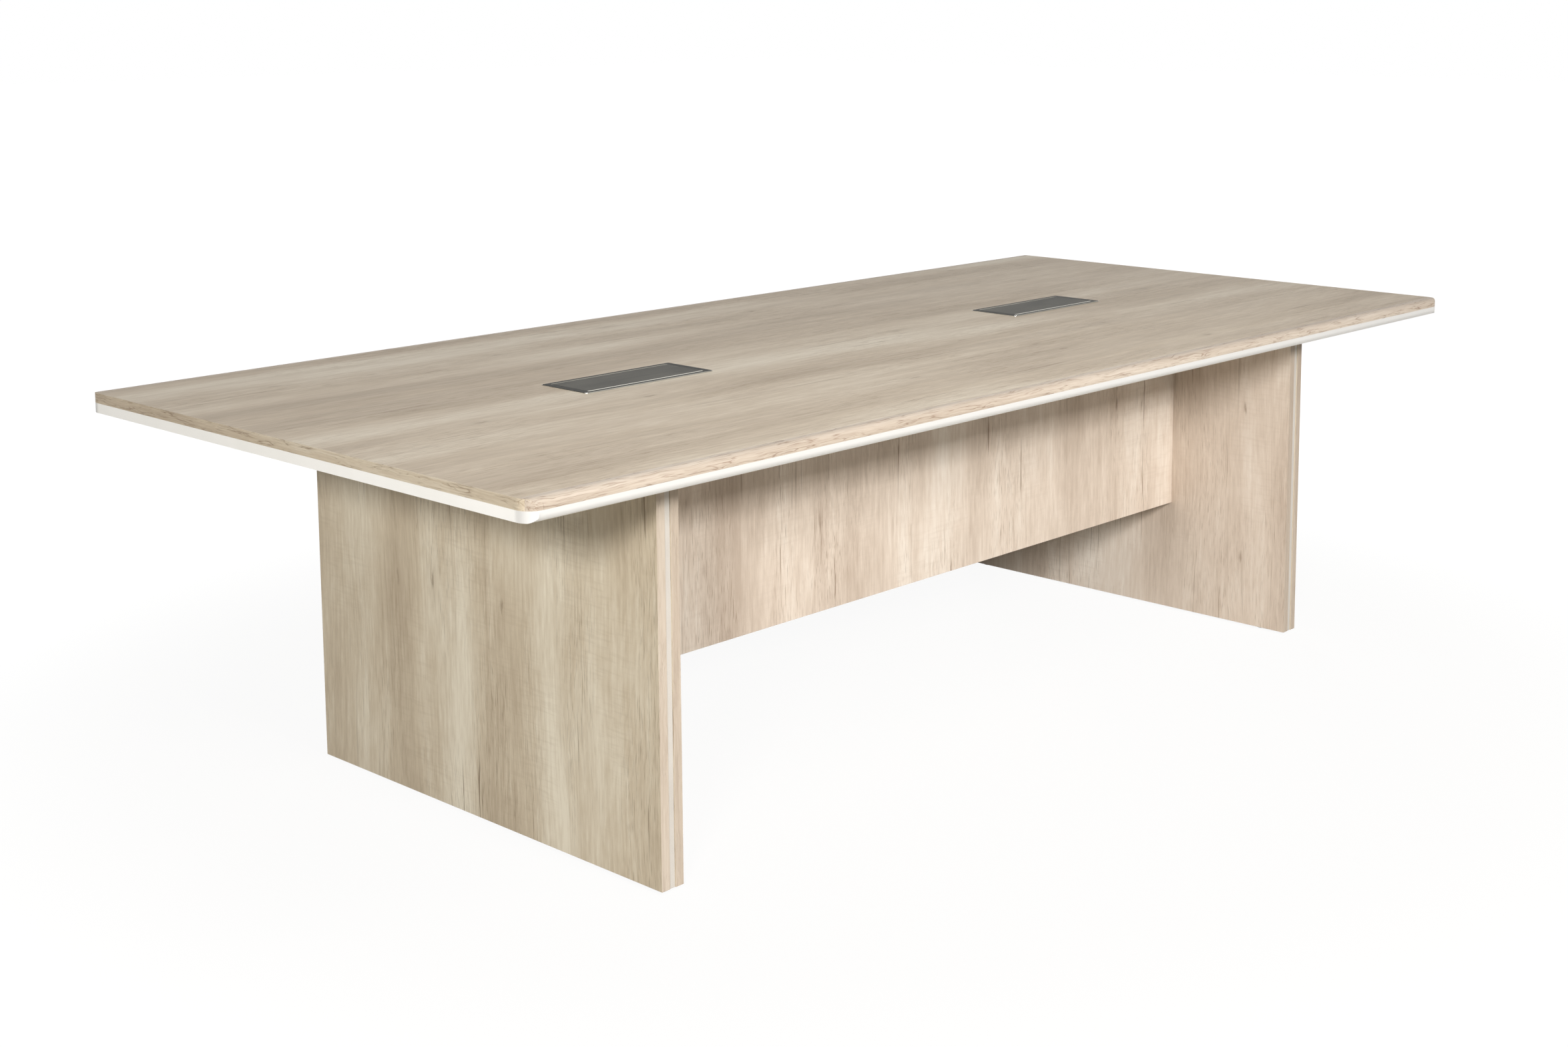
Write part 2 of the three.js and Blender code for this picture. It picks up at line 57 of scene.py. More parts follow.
SIDES = ("left", "right")
ENDS = ("front", "rear")
CORNERS = [(side, end) for side in SIDES for end in ENDS]

# %% [markdown]
# ## The camera
# The photograph looks down on the table's left front corner from just below standing eye height. The
# place, the lens and the shift were solved from the table's own edges. The lens is shifted as well as
# dipped, which keeps the legs nearly upright in the picture.

# %% Camera
PICTURE_WIDTH = 2349
PICTURE_HEIGHT = 1568
SENSOR_WIDTH = 36
FOCAL_PIXELS = 3185.9
CENTRE_PIXEL = (1335.7, 432.8)
CAMERA_PLACE = Vector((-3.1935, -2.9637, 1.4619))
CAMERA_TURN = 0.72993
CAMERA_DIP = 0.13873

lens = bpy.data.cameras.new("studio_camera")
camera = bpy.data.objects.new("studio_camera", lens)
bpy.context.scene.collection.objects.link(camera)
forward = math.cos(CAMERA_DIP)
gaze = Vector((forward * math.cos(CAMERA_TURN), forward * math.sin(CAMERA_TURN), -math.sin(CAMERA_DIP)))
camera.location = CAMERA_PLACE
camera.rotation_euler = gaze.to_track_quat("-Z", "Y").to_euler()
lens.sensor_width = SENSOR_WIDTH
lens.lens = FOCAL_PIXELS / PICTURE_WIDTH * SENSOR_WIDTH
lens.shift_x = (PICTURE_WIDTH / 2 - CENTRE_PIXEL[0]) / PICTURE_WIDTH
lens.shift_y = (CENTRE_PIXEL[1] - PICTURE_HEIGHT / 2) / PICTURE_WIDTH
bpy.context.scene.camera = camera
print("camera: lens", round(lens.lens, 1), "mm, shift", round(lens.shift_x, 3), round(lens.shift_y, 3))

# %% [markdown]
# ## Shader maths that reads like maths
# A finish is a small machine of nodes. Wiring every Math node by hand hides the idea, so one class
# wraps a socket and turns `a * b` or `1 - a` into a node, and one method makes any other node.

# %% Shader helpers


class Signal:
    """A value that flows from one shader node to the next."""

    def __init__(self, recipe, socket):
        self.recipe = recipe
        self.socket = socket

    def math(self, operation, first, second):
        return self.recipe.node("ShaderNodeMath", {"operation": operation}, {0: first, 1: second})

    def __add__(self, other):
        return self.math("ADD", self, other)

    def __sub__(self, other):
        return self.math("SUBTRACT", self, other)

    def __rsub__(self, other):
        return self.math("SUBTRACT", other, self)

    def __mul__(self, other):
        return self.math("MULTIPLY", self, other)

    __radd__ = __add__
    __rmul__ = __mul__


class Recipe:
    """The nodes of one finish."""

    def __init__(self, name):
        self.material = bpy.data.materials.new(name)
        self.material.use_nodes = True
        self.tree = self.material.node_tree
        self.tree.nodes.clear()
        self.place = self.node("ShaderNodeTexCoord", {}, {}, "Object")

    def node(self, kind, settings, sockets, output=0):
        made = self.tree.nodes.new(kind)
        for name, value in settings.items():
            if name == "stops":
                set_stops(made.color_ramp, value)
            else:
                setattr(made, name, value)
        for name, value in sockets.items():
            if isinstance(value, Signal):
                self.tree.links.new(value.socket, made.inputs[name])
            else:
                made.inputs[name].default_value = value
        return Signal(self, made.outputs[output]) if made.outputs else None

    def vector(self, operation, first, second=(0, 0, 0), output=0):
        settings = {"operation": operation}
        return self.node("ShaderNodeVectorMath", settings, {0: first, 1: second}, output)

    def turned(self, seed, turn=(0, 0, 0)):
        """The object's own coordinates, moved and turned."""
        sockets = {"Vector": self.place, "Location": seed, "Rotation": turn}
        return self.node("ShaderNodeMapping", {}, sockets)

    def noise(self, vector, detail=3.0, roughness=0.5):
        sockets = {"Vector": vector, "Scale": 1.0, "Detail": detail, "Roughness": roughness}
        return self.node("ShaderNodeTexNoise", {}, sockets)

    def fibres(self, vector, along, across, detail=3.0, roughness=0.5):
        """Noise drawn out along the grain."""
        return self.noise(self.vector("MULTIPLY", vector, (along, across, across)), detail, roughness)

    def axes(self, vector, letters):
        return (self.node("ShaderNodeSeparateXYZ", {}, {"Vector": vector}, axis) for axis in letters)

    def step(self, value, low, high):
        settings = {"interpolation_type": "SMOOTHSTEP"}
        sockets = {"Value": value, "From Min": low, "From Max": high}
        return self.node("ShaderNodeMapRange", settings, sockets)

    def ramp(self, value, stops):
        return self.node("ShaderNodeValToRGB", {"stops": stops}, {"Fac": value})

    def mix(self, share, first, second):
        return self.node("ShaderNodeMix", {"data_type": "RGBA"}, {0: share, 6: first, 7: second}, 2)

    def surface(self, colour, rough, height, depth, **others):
        """A finish with a fine relief of this depth."""
        relief = self.node("ShaderNodeBump", {}, {"Height": height, "Distance": depth})
        sockets = {name.replace("_", " "): value for name, value in others.items()}
        sockets.update({"Base Color": colour, "Roughness": rough, "Normal": relief})
        shader = self.node("ShaderNodeBsdfPrincipled", {}, sockets)
        self.node("ShaderNodeOutputMaterial", {}, {"Surface": shader})
        return self.material


def set_stops(color_ramp, stops):
    while len(color_ramp.elements) < len(stops):
        color_ramp.elements.new(1.0)
    for element, (position, colour) in zip(color_ramp.elements, stops):
        element.position = position
        element.color = colour


def tone(red, green, blue):
    """A colour as it is read off a picture, made linear for the shader."""
    def linear(value):
        share = value / 255
        return share / 12.92 if share <= 0.04045 else ((share + 0.055) / 1.055) ** 2.4

    return (linear(red), linear(green), linear(blue), 1.0)


# %% [markdown]
# ## Washed oak
# The boards are faced with a printed oak that looks limed: broad cream and brown drifts, fine lines along
# the grain, short dark pores, a few long checks and small knots. A photograph of wood would be quicker,
# but it would need a file, and it repeats. Noise that is stretched along the grain never does. The
# coordinates are turned so that the grain always runs along the first axis, and a slow noise bends it.

# %% The oak finish


def oak(name, tones, seed, upright=True, drift=(1.2, 5.6), spread=0.125, checks=0.5, ripple=0.0, pores=0.35):
    recipe = Recipe(name)
    dark, middle, light, crack = (tone(*colour) for colour in tones)
    straight = recipe.turned(seed, (0.0, math.pi / 2 if upright else 0.0, 0.0))
    bend = recipe.fibres(straight, 1.4, 4.0, 2.0)
    shift = recipe.node("ShaderNodeCombineXYZ", {}, {"Y": (bend - 0.5) * 0.05})
    grain = recipe.vector("ADD", straight, shift)

    broad = recipe.fibres(grain, *drift, 4.0, 0.55)
    streak = recipe.fibres(grain, 1.5, 42.0, 4.0, 0.6)
    line = recipe.fibres(grain, 5.0, 330.0, 3.0, 0.6)
    band = recipe.fibres(grain, 2.4, 115.0, 3.0, 0.6)
    fleck = recipe.fibres(grain, 22.0, 150.0, 3.0, 0.6)
    figure = broad * 0.56 + streak * 0.08 + band * 0.08 + line * 0.12 + fleck * 0.16
    stops = [(0.5 - spread, dark), (0.5, middle), (0.5 + spread, light)]
    colour = recipe.ramp(figure, stops)

    where = recipe.fibres(grain, 2.2, 9.0, 2.0)
    pore = recipe.fibres(grain, 26.0, 620.0, 2.0)
    pore_mask = recipe.step(pore, 0.55, 0.68) * recipe.step(where, 0.38, 0.62)
    check = recipe.fibres(grain, 2.6, 120.0, 3.0, 0.62)
    check_mask = recipe.step(check, 0.62, 0.69) * recipe.step(where, 0.40, 0.58)
    along, side, deep = recipe.axes(grain, "XYZ")
    across = (side + deep) * 8.0 + (fleck - 0.5) * 0.22
    cell = recipe.node("ShaderNodeCombineXYZ", {}, {"X": along * 2.4, "Y": across})
    flat = {"voronoi_dimensions": "2D"}
    sockets = {"Vector": cell, "Scale": 1.0}
    knot = recipe.node("ShaderNodeTexVoronoi", flat, sockets)
    chance = recipe.node("ShaderNodeTexVoronoi", flat, sockets, "Color")
    chosen = recipe.step(recipe.node("ShaderNodeSeparateColor", {}, {"Color": chance}), 0.68, 0.70)
    heart = (1 - recipe.step(knot, 0.01, 0.05)) * chosen * recipe.step(fleck, 0.38, 0.56)
    halo = (1 - recipe.step(knot, 0.03, 0.16)) * chosen

    colour = recipe.mix(pore_mask * pores, colour, crack)
    colour = recipe.mix(check_mask * checks, colour, crack)
    colour = recipe.mix(halo * 0.3, colour, dark)
    colour = recipe.mix(heart * 0.6, colour, crack)
    if ripple:
        wave = recipe.fibres(straight, 170.0, 16.0, 2.0)
        here = recipe.fibres(straight, 3.0, 6.0, 1.0)
        wave_mask = recipe.step(wave, 0.48, 0.66) * recipe.step(here, 0.45, 0.62)
        colour = recipe.mix(wave_mask * ripple, colour, dark)
    height = line * 0.5 - pore_mask * 0.6 - check_mask * 0.8
    rough = 0.5 + (streak - 0.5) * 0.18 + pore_mask * 0.12
    return recipe.surface(colour, rough, height, 0.00014, Specular_IOR_Level=0.25)


TOP_TONES = ((161, 146, 127), (186, 172, 153), (208, 198, 181), (120, 102, 84))
LEG_TONES = ((167, 151, 129), (198, 185, 163), (224, 216, 198), (108, 90, 70))
SPINE_TONES = ((186, 170, 155), (210, 196, 182), (228, 219, 208), (132, 112, 94))

top_oak = oak("top_oak", TOP_TONES, (10.2, 27.7, 0.0), upright=False,
              drift=(0.8, 7.0), spread=0.112, checks=0.65, pores=0.45)
leg_oak = {
    "left": oak("left_leg_oak", LEG_TONES, (5.8, 2.4, 0.0), ripple=0.14, checks=0.75, pores=0.45),
    "right": oak("right_leg_oak", LEG_TONES, (5.7, 8.1, 0.0), ripple=0.14, checks=0.75, pores=0.45),
}
spine_oak = oak("spine_oak", SPINE_TONES, (2.7, 10.2, 0.0), ripple=0.14,
                drift=(1.3, 7.0), spread=0.11, checks=0.85, pores=0.5)
inner_oak = oak("inner_leg_oak", SPINE_TONES, (2.3, 4.5, 0.0), ripple=0.14, checks=0.7, pores=0.45)
print("oak:", top_oak.name, [finish.name for finish in leg_oak.values()], spine_oak.name)

# %% [markdown]
# ## Edge strips
# The strips along the table's edges are printed with a coarser oak, whose pores open into thin brown
# cracks. Cells stretched along the strip give closed, lens-shaped lines as in the real print, and a noise
# hides most of them so that only broken dashes are left.

# %% The edge finish


def edge_oak(name, tones, seed, turn, coarse=1.0):
    recipe = Recipe(name)
    dark, middle, light, crack = (tone(*colour) for colour in tones)
    straight = recipe.turned(seed, turn)
    bend = recipe.fibres(straight, 14.0, 40.0, 2.0)
    shift = recipe.node("ShaderNodeCombineXYZ", {}, {"Y": (bend - 0.5) * 0.012, "Z": (bend - 0.5) * 0.010})
    grain = recipe.vector("ADD", straight, shift)
    broad = recipe.fibres(grain, 1.4, 30.0, 3.0)
    line = recipe.fibres(grain, 7.0, 420.0, 3.0, 0.6)
    colour = recipe.ramp(broad * 0.6 + line * 0.4, [(0.36, dark), (0.5, middle), (0.64, light)])
    cell = recipe.vector("MULTIPLY", grain, (13.0, 260.0, 260.0))
    settings = {"feature": "DISTANCE_TO_EDGE"}
    rim = recipe.node("ShaderNodeTexVoronoi", settings, {"Vector": cell, "Scale": 1.0})
    broken = recipe.fibres(grain, 14.0, 120.0, 3.0)
    crack_mask = (1 - recipe.step(rim, 0.0, 0.09)) * recipe.step(broken, 0.48, 0.60)
    dash = recipe.fibres(grain, 20.0, 380.0, 2.0)
    dash_mask = recipe.step(dash, 0.58, 0.70)
    colour = recipe.mix(dash_mask * (0.45 * coarse), colour, crack)
    colour = recipe.mix(crack_mask * (0.75 * coarse), colour, crack)
    height = line * 0.4 - crack_mask * 0.8 - dash_mask * 0.4
    rough = 0.46 + (broad - 0.5) * 0.15 + dash_mask * 0.12
    return recipe.surface(colour, rough, height, 0.0003, Specular_IOR_Level=0.25)


FRONT_TONES = ((164, 150, 135), (180, 167, 153), (195, 184, 171), (116, 90, 70))
END_TONES = ((178, 162, 140), (197, 183, 161), (212, 201, 182), (120, 97, 74))
BAND_TONES = ((168, 153, 138), (180, 166, 151), (191, 179, 165), (140, 121, 104))
ALONG_X = (0.0, 0.0, 0.0)
ALONG_Y = (0.0, 0.0, -math.pi / 2)
ALONG_Z = (0.0, math.pi / 2, 0.0)

front_strip = edge_oak("front_strip_oak", FRONT_TONES, (0.7, 0.2, 0.0), ALONG_X, coarse=0.8)
end_strip = edge_oak("end_strip_oak", END_TONES, (2.3, 0.9, 0.0), ALONG_Y, coarse=0.75)
panel_edge = edge_oak("panel_edge_oak", BAND_TONES, (4.1, 3.3, 0.0), ALONG_Z, coarse=0.25)
print("edges:", front_strip.name, end_strip.name, panel_edge.name)

# %% [markdown]
# ## White board, raw wood, plastics and metals
# None of these is one flat colour on the real table. The white board has a faint orange-peel skin, plastic
# has a fine spark-eroded texture, and brushed metal has lines that run one way. Each recipe is a few
# noises at the right scale, which move the colour a little and the gloss a little more.

# %% Plain finishes
# How far the painted shade on the white board's long edges and corners fades in.
SHADE_BAND_FADE = 8 * MM
SHADE_CORNER_FADE = (34 * MM, 20 * MM)


def skin(name, low, high, grain, rough, depth, band=None):
    """A moulded, sprayed or coated surface: a fine even texture and a slow change of shade.

    A band is the far corner of a board and a grey, painted shade on the board's long edges and round
    corners.
    """
    recipe = Recipe(name)
    fine = recipe.fibres(recipe.place, grain, grain, 2.0)
    slow = recipe.fibres(recipe.place, 6.0, 6.0, 3.0)
    colour = recipe.ramp(slow * 0.7 + fine * 0.3, [(0.35, tone(*low)), (0.65, tone(*high))])
    if band:
        edge, shade_colour = band
        # Painted shade: the long edges and round corners are blended to a grey.
        spot = recipe.vector("ABSOLUTE", recipe.place)
        along, side = recipe.axes(spot, "XY")
        shaded_band = recipe.step(side, edge.y - SHADE_BAND_FADE, edge.y)
        tip = edge.x + edge.y
        shaded_corner = recipe.step(along + side, tip - SHADE_CORNER_FADE[0], tip - SHADE_CORNER_FADE[1])
        colour = recipe.mix(shaded_band, colour, shade_colour)
        colour = recipe.mix(shaded_corner, colour, shade_colour)
    roughness = rough + (fine - 0.5) * 0.12 + (slow - 0.5) * 0.10
    return recipe.surface(colour, roughness, fine, depth)


def brushed(name, low, high, rough, metal, along=(4.0, 900.0, 900.0), depth=0.00002, sheen=1.0):
    """Metal with fine lines that run along one axis. The sheen is how bright it is seen from low down."""
    recipe = Recipe(name)
    line = recipe.noise(recipe.vector("MULTIPLY", recipe.place, along), 3.0, 0.6)
    slow = recipe.fibres(recipe.place, 7.0, 12.0, 3.0)
    colour = recipe.ramp(line * 0.6 + slow * 0.4, [(0.35, tone(*low)), (0.65, tone(*high))])
    roughness = rough + (line - 0.5) * 0.22 + (slow - 0.5) * 0.10
    tint = (sheen, sheen, sheen, 1.0)
    return recipe.surface(colour, roughness, line, depth, Metallic=metal, Specular_Tint=tint)


def planed_wood(name, low, high, seed):
    """Bare softwood, with growth rings cut along their length."""
    recipe = Recipe(name)
    straight = recipe.turned(seed)
    ring = recipe.noise(recipe.vector("MULTIPLY", straight, (160.0, 160.0, 2.0)), 2.0)
    fibre = recipe.noise(recipe.vector("MULTIPLY", straight, (900.0, 900.0, 12.0)), 2.0)
    colour = recipe.ramp(ring * 0.75 + fibre * 0.25, [(0.38, tone(*low)), (0.62, tone(*high))])
    return recipe.surface(colour, 0.7 + (fibre - 0.5) * 0.2, fibre, 0.0002)


# The under board's long edges and round corners get a grey: painted shade on the white.
painted_shade_band = (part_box("under_board")[1], tone(201, 200, 198))
white_board = skin("white_board", (244, 243, 238), (251, 250, 247), 900.0, 0.42, 0.00003, painted_shade_band)
white_core = skin("white_core", (183, 177, 170), (195, 190, 183), 900.0, 0.5, 0.00003)
raw_batten = planed_wood("raw_batten", (190, 156, 112), (216, 188, 148), (0.3, 0.1, 0.0))
zinc_steel = brushed("zinc_steel", (158, 162, 166), (192, 194, 196), 0.38, 0.9, (220.0, 220.0, 220.0))
frame_metal = brushed("frame_metal", (52, 51, 48), (72, 71, 66), 0.42, 0.6, sheen=0.25)
# The frame's bright and lighter grey metals and the lid's bright metal are painted highlights.
glint_metal = brushed("frame_bright_edge", (196, 194, 186), (224, 222, 214), 0.22, 0.85)
frame_painted_line = brushed("frame_painted_line", (136, 134, 128), (160, 158, 150), 0.35, 0.7, sheen=0.5)
lid_metal = brushed("lid_metal", (66, 65, 61), (116, 114, 107), 0.44, 0.6, sheen=0.25)
lid_glint_metal = brushed("lid_bright_edge", (198, 196, 188), (226, 223, 214), 0.25, 0.8)
tray_steel = skin("tray_steel", (38, 38, 40), (48, 48, 50), 1400.0, 0.55, 0.00005)
black_plastic = skin("black_plastic", (26, 26, 28), (34, 34, 36), 2200.0, 0.5, 0.00004)
white_plastic = skin("white_plastic", (226, 225, 220), (236, 235, 230), 2200.0, 0.36, 0.00002)
contact_metal = brushed("contact_metal", (196, 172, 110), (222, 198, 138), 0.3, 1.0)
print("finishes:", len([m for m in bpy.data.materials if m.use_nodes]), "materials in the file")

# %% [markdown]
# ## Modelling tools
# Boards start as a cube at the right size and place. Edges and faces are then picked by where they lie,
# and an operator shapes them, as a hand with a mouse would. Everything is deselected first, because an
# operator acts on all that is selected.

# %% Modelling helpers
NEAR = 1e-5
SPARE = 1 * MM  # how far a cutter reaches past what it cuts


def only(piece):
    """Make a piece the one selected, active object."""
    bpy.ops.object.select_all(action="DESELECT")
    piece.select_set(True)
    bpy.context.view_layer.objects.active = piece


def discard(piece):
    bpy.data.objects.remove(piece, do_unlink=True)


def settled(name):
    """Name the shape just added, with its place and size taken into its mesh."""
    bpy.ops.object.transform_apply(location=True, rotation=True, scale=True)
    piece = bpy.context.object
    piece.name = name
    return piece


def block(name, low, high):
    """A box from its lowest to its highest corner."""
    low = Vector(low)
    high = Vector(high)
    bpy.ops.object.select_all(action="DESELECT")
    bpy.ops.mesh.primitive_cube_add(size=1, location=(low + high) / 2, scale=high - low)
    return settled(name)


def centred(name, half_x, half_y, bottom, top, x=0, y=0):
    """A box round an upright line, from half its plan size and two heights."""
    return block(name, (x - half_x, y - half_y, bottom), (x + half_x, y + half_y, top))


def bar(name, radius, start, end, sides=32):
    """A round bar between two points."""
    start = Vector(start)
    run = Vector(end) - start
    turn = run.to_track_quat("Z", "Y").to_euler()
    bpy.ops.object.select_all(action="DESELECT")
    bpy.ops.mesh.primitive_cylinder_add(
        vertices=sides, radius=radius, depth=run.length, location=start + run / 2, rotation=turn)
    return settled(name)


def pick(piece, kind, wanted):
    """Enter edit mode with only the wanted edges or faces selected."""
    only(piece)
    bpy.ops.object.mode_set(mode="EDIT")
    bpy.ops.mesh.select_mode(type=kind)
    bpy.ops.mesh.select_all(action="DESELECT")
    mesh = bmesh.from_edit_mesh(piece.data)
    if kind == "EDGE":
        for edge in mesh.edges:
            start, end = (corner.co for corner in edge.verts)
            if wanted((start + end) / 2, (end - start).normalized()):
                edge.select_set(True)
    else:
        mesh.normal_update()
        for face in mesh.faces:
            if wanted(face.calc_center_median(), face.normal):
                face.select_set(True)
    bmesh.update_edit_mesh(piece.data)


def facing_up(middle, normal):
    return normal.z > 0.9


def leave():
    bpy.ops.object.mode_set(mode="OBJECT")


def round_edges(piece, radius, steps, wanted):
    pick(piece, "EDGE", wanted)
    bpy.ops.mesh.bevel(offset=radius, offset_type="OFFSET", segments=steps, affect="EDGES")
    leave()
    return piece


def pull(rise):
    """Extrude what is selected straight up, or down."""
    bpy.ops.mesh.extrude_region_move(TRANSFORM_OT_translate={"value": (0, 0, rise)})


def along(axis, height=-1.0):
    """Wanted: edges that run along an axis, at this height or above it."""
    return lambda middle, run: abs(getattr(run, axis)) > 0.9 and middle.z > height - NEAR


def level(height):
    """Wanted: level edges at this height or above it."""
    return lambda middle, run: abs(run.z) < 0.1 and middle.z > height - NEAR


def anything(middle, way):
    return True


def cut_away(piece, point, normal):
    """Saw off what lies on the side that the normal points to, and close the cut."""
    pick(piece, "FACE", anything)
    bpy.ops.mesh.bisect(plane_co=point, plane_no=normal, use_fill=True, clear_outer=True)
    leave()


def modify(piece, kind, **settings):
    """Add a modifier with its settings, and apply it."""
    tool = piece.modifiers.new(kind.lower(), kind)
    for name, value in settings.items():
        setattr(tool, name, value)
    only(piece)
    bpy.ops.object.modifier_apply(modifier=tool.name)


def join_shape(piece, other, way):
    """Cut, join or trim a piece by another, which is then gone."""
    modify(piece, "BOOLEAN", operation=way, solver="EXACT", object=other)
    discard(other)


def cut(piece, cutter):
    join_shape(piece, cutter, "DIFFERENCE")


def drill(piece, radius, x, y, bottom, top, sides=32):
    """Bore an upright round hole."""
    cut(piece, bar("drill", radius, (x, y, bottom), (x, y, top), sides))


def copy_of(piece, name, move=(0, 0, 0), mirror=False):
    """A copy with its own mesh, moved along, and turned over left to right if asked."""
    twin = piece.copy()
    twin.data = piece.data.copy()
    twin.name = name
    bpy.context.scene.collection.objects.link(twin)
    if mirror:
        twin.data.transform(Matrix.Scale(-1, 4, (1, 0, 0)))
        twin.data.flip_normals()
    twin.data.transform(Matrix.Translation(move))
    return twin


def soften(piece, width, angle=35):
    """A fine arris on every sharp edge."""
    limit = math.radians(angle)
    modify(piece, "BEVEL", width=width, segments=2, limit_method="ANGLE", angle_limit=limit)


def even_shade(piece, angle=32):
    """Smooth shading on rounds that leaves flat faces flat."""
    only(piece)
    bpy.ops.object.shade_smooth_by_angle(angle=math.radians(angle))
    modify(piece, "WEIGHTED_NORMAL", keep_sharp=True)


bodies = frame["record"]["behaviour"]["bodies"]
node_body = {node: body for body, nodes in bodies.items() for node in nodes}


def fit(piece, node, slot, *finishes):
    """Let a finished piece stand for its solid, ride on the same body and wear its finishes.

    A copy that wears them already keeps its painted faces, which clearing would reset.
    """
    if list(piece.data.materials) != list(finishes):
        piece.data.materials.clear()
        for finish in finishes:
            piece.data.materials.append(finish)
    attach(piece, node_body[node])
    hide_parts(node)


def paint(piece, index, wanted):
    """Give the wanted faces another of the piece's finishes."""
    for face in piece.data.polygons:
        if wanted(face.center, face.normal):
            face.material_index = index


print("tools ready:", len(node_body), "nodes know their bodies")

# %% [markdown]
# ## The wood layer of the top
# The top is one pressed board with strips glued to its long edges and thin bands on its ends. It could be
# five loose boxes, but the round-over runs through strips and bands alike. So one blank gets its round
# edges and corners first, and the pieces are sawn out of it, as in the workshop.

# %% Press the blank
top_low, top_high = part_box("top_board")
white_low, white_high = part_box("under_board")
EDGE_ROUND = 16 * MM
CORNER_ROUND = 28 * MM
BAND_THICKNESS = 2 * MM
BAND_SEAT = 2.3 * MM
FIT_GAP = 0.3 * MM
ARRIS = 0.35 * MM
ROUND_STEPS = 14

end_x = white_high.x
side_y = white_high.y
joint_z = top_low.z
top_z = top_high.z
corner_x = end_x - CORNER_ROUND


def rounded_blank(name):
    blank = centred(name, end_x, side_y, joint_z, top_z)
    return round_edges(blank, EDGE_ROUND, ROUND_STEPS, along("x", top_z))


wide_x = corner_x - FIT_GAP
seat_x = end_x - BAND_SEAT
seat_y = side_y - BAND_SEAT
pressed = centred("pressed_top", seat_x, seat_y, joint_z - SPARE, top_z + SPARE)
round_edges(pressed, CORNER_ROUND - BAND_SEAT, ROUND_STEPS, along("z"))
middle_part = centred("middle_part", wide_x, side_y + SPARE, joint_z - SPARE, top_z + SPARE)
join_shape(pressed, middle_part, "UNION")
join_shape(pressed, rounded_blank("blank"), "INTERSECT")
print("pressed top:", len(pressed.data.polygons), "faces")

# %% Saw out the board and the strips
HOLE_HALF_LENGTH = 150.5 * MM
HOLE_HALF_WIDTH = 60 * MM
HOLE_CORNER = 4 * MM


def box_cutter(side, low_z, high_z):
    """The hole that a power box's neck goes through."""
    neck_low, neck_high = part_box(f"{side}_box_hinge_rod")
    middle = (neck_low.x + neck_high.x) / 2
    cutter = centred("cutter", HOLE_HALF_LENGTH, HOLE_HALF_WIDTH, low_z, high_z, middle)
    return round_edges(cutter, HOLE_CORNER, 4, along("z"))


def groove_edge(middle, run):
    return abs(run.x) > 0.9 and abs(abs(middle.y) - top_high.y) < NEAR and middle.z > top_z - NEAR


board = copy_of(pressed, "oak_top_board")
cut_away(board, (0, top_low.y, 0), (0, -1, 0))
cut_away(board, (0, top_high.y, 0), (0, 1, 0))
round_edges(board, ARRIS, 1, groove_edge)
for side in SIDES:
    cut(board, box_cutter(side, joint_z - SPARE, top_z + SPARE))
even_shade(board)
fit(board, "top_board", "oak_top", top_oak)

for name, direction in (("front", -1), ("rear", 1)):
    strip = copy_of(pressed, f"oak_{name}_lipping")
    cut_away(strip, (0, direction * top_high.y, 0), (0, -direction, 0))
    round_edges(strip, ARRIS, 1, groove_edge)
    even_shade(strip)
    fit(strip, f"{name}_lipping", "oak_edge", front_strip)
discard(pressed)
print("top board and strips:", len(board.data.polygons), "and", len(strip.data.polygons), "faces")

# %% [markdown]
# The end bands are two millimetre strips that wrap round the corners. A ring is made from two rounded
# boxes, one is sawn off at the corner, and the blank trims it to the round-over.

# %% End bands
ring = centred("ring", end_x, side_y, joint_z, top_z)
round_edges(ring, CORNER_ROUND, ROUND_STEPS, along("z"))
inner_x = end_x - BAND_THICKNESS
inner_y = side_y - BAND_THICKNESS
hole = centred("hole", inner_x, inner_y, joint_z - SPARE, top_z + SPARE)
round_edges(hole, CORNER_ROUND - BAND_THICKNESS, ROUND_STEPS, along("z"))
cut(ring, hole)
cut_away(ring, (-corner_x, 0, 0), (1, 0, 0))
join_shape(ring, rounded_blank("blank"), "INTERSECT")
even_shade(ring)
left_band = copy_of(ring, "oak_left_end_band")
right_band = copy_of(ring, "oak_right_end_band", mirror=True)
discard(ring)
# A band's faces that turn to the front or rear wear the darker front strip finish: painted shade where the
# round corner faces the front lamps.
for band, node in ((left_band, "left_end_band"), (right_band, "right_end_band")):
    fit(band, node, "oak_edge", end_strip, front_strip)
    paint(band, 1, lambda middle, normal: abs(normal.y) > 0.5)
print("end bands:", len(left_band.data.polygons), "faces each")

# %% [markdown]
# ## The white under board
# A white board lies under the wood, with round corners, a rounded lower edge along its long sides and a
# crisp lower edge at its ends. A long bar with the rounded section is trimmed by the plan.

# %% Under board
UNDER_ROUND = 12 * MM
BOARD_GAP = 0.25 * MM
OVERHANG = 100 * MM


def low_long_edge(middle, run):
    return abs(run.x) > 0.9 and middle.z < white_low.z + NEAR


white = block("white_under_board", white_low, white_high)
round_edges(white, CORNER_ROUND, ROUND_STEPS, along("z"))
round_edges(white, BOARD_GAP, 1, level(joint_z))
section = centred("section", end_x + OVERHANG, side_y, white_low.z, joint_z + SPARE)
round_edges(section, UNDER_ROUND, ROUND_STEPS, low_long_edge)
join_shape(white, section, "INTERSECT")
for side in SIDES:
    cut(white, box_cutter(side, white_low.z - SPARE, joint_z + SPARE))
even_shade(white)
fit(white, "under_board", "white_board", white_board)
print("under board:", len(white.data.polygons), "faces")

# %% [markdown]
# ## The legs
# Each leg is a sandwich: a wood-faced panel, a white core set back a little, and a second panel. The panels
# have thin bands glued on their narrow edges, so those faces wear the edge finish.

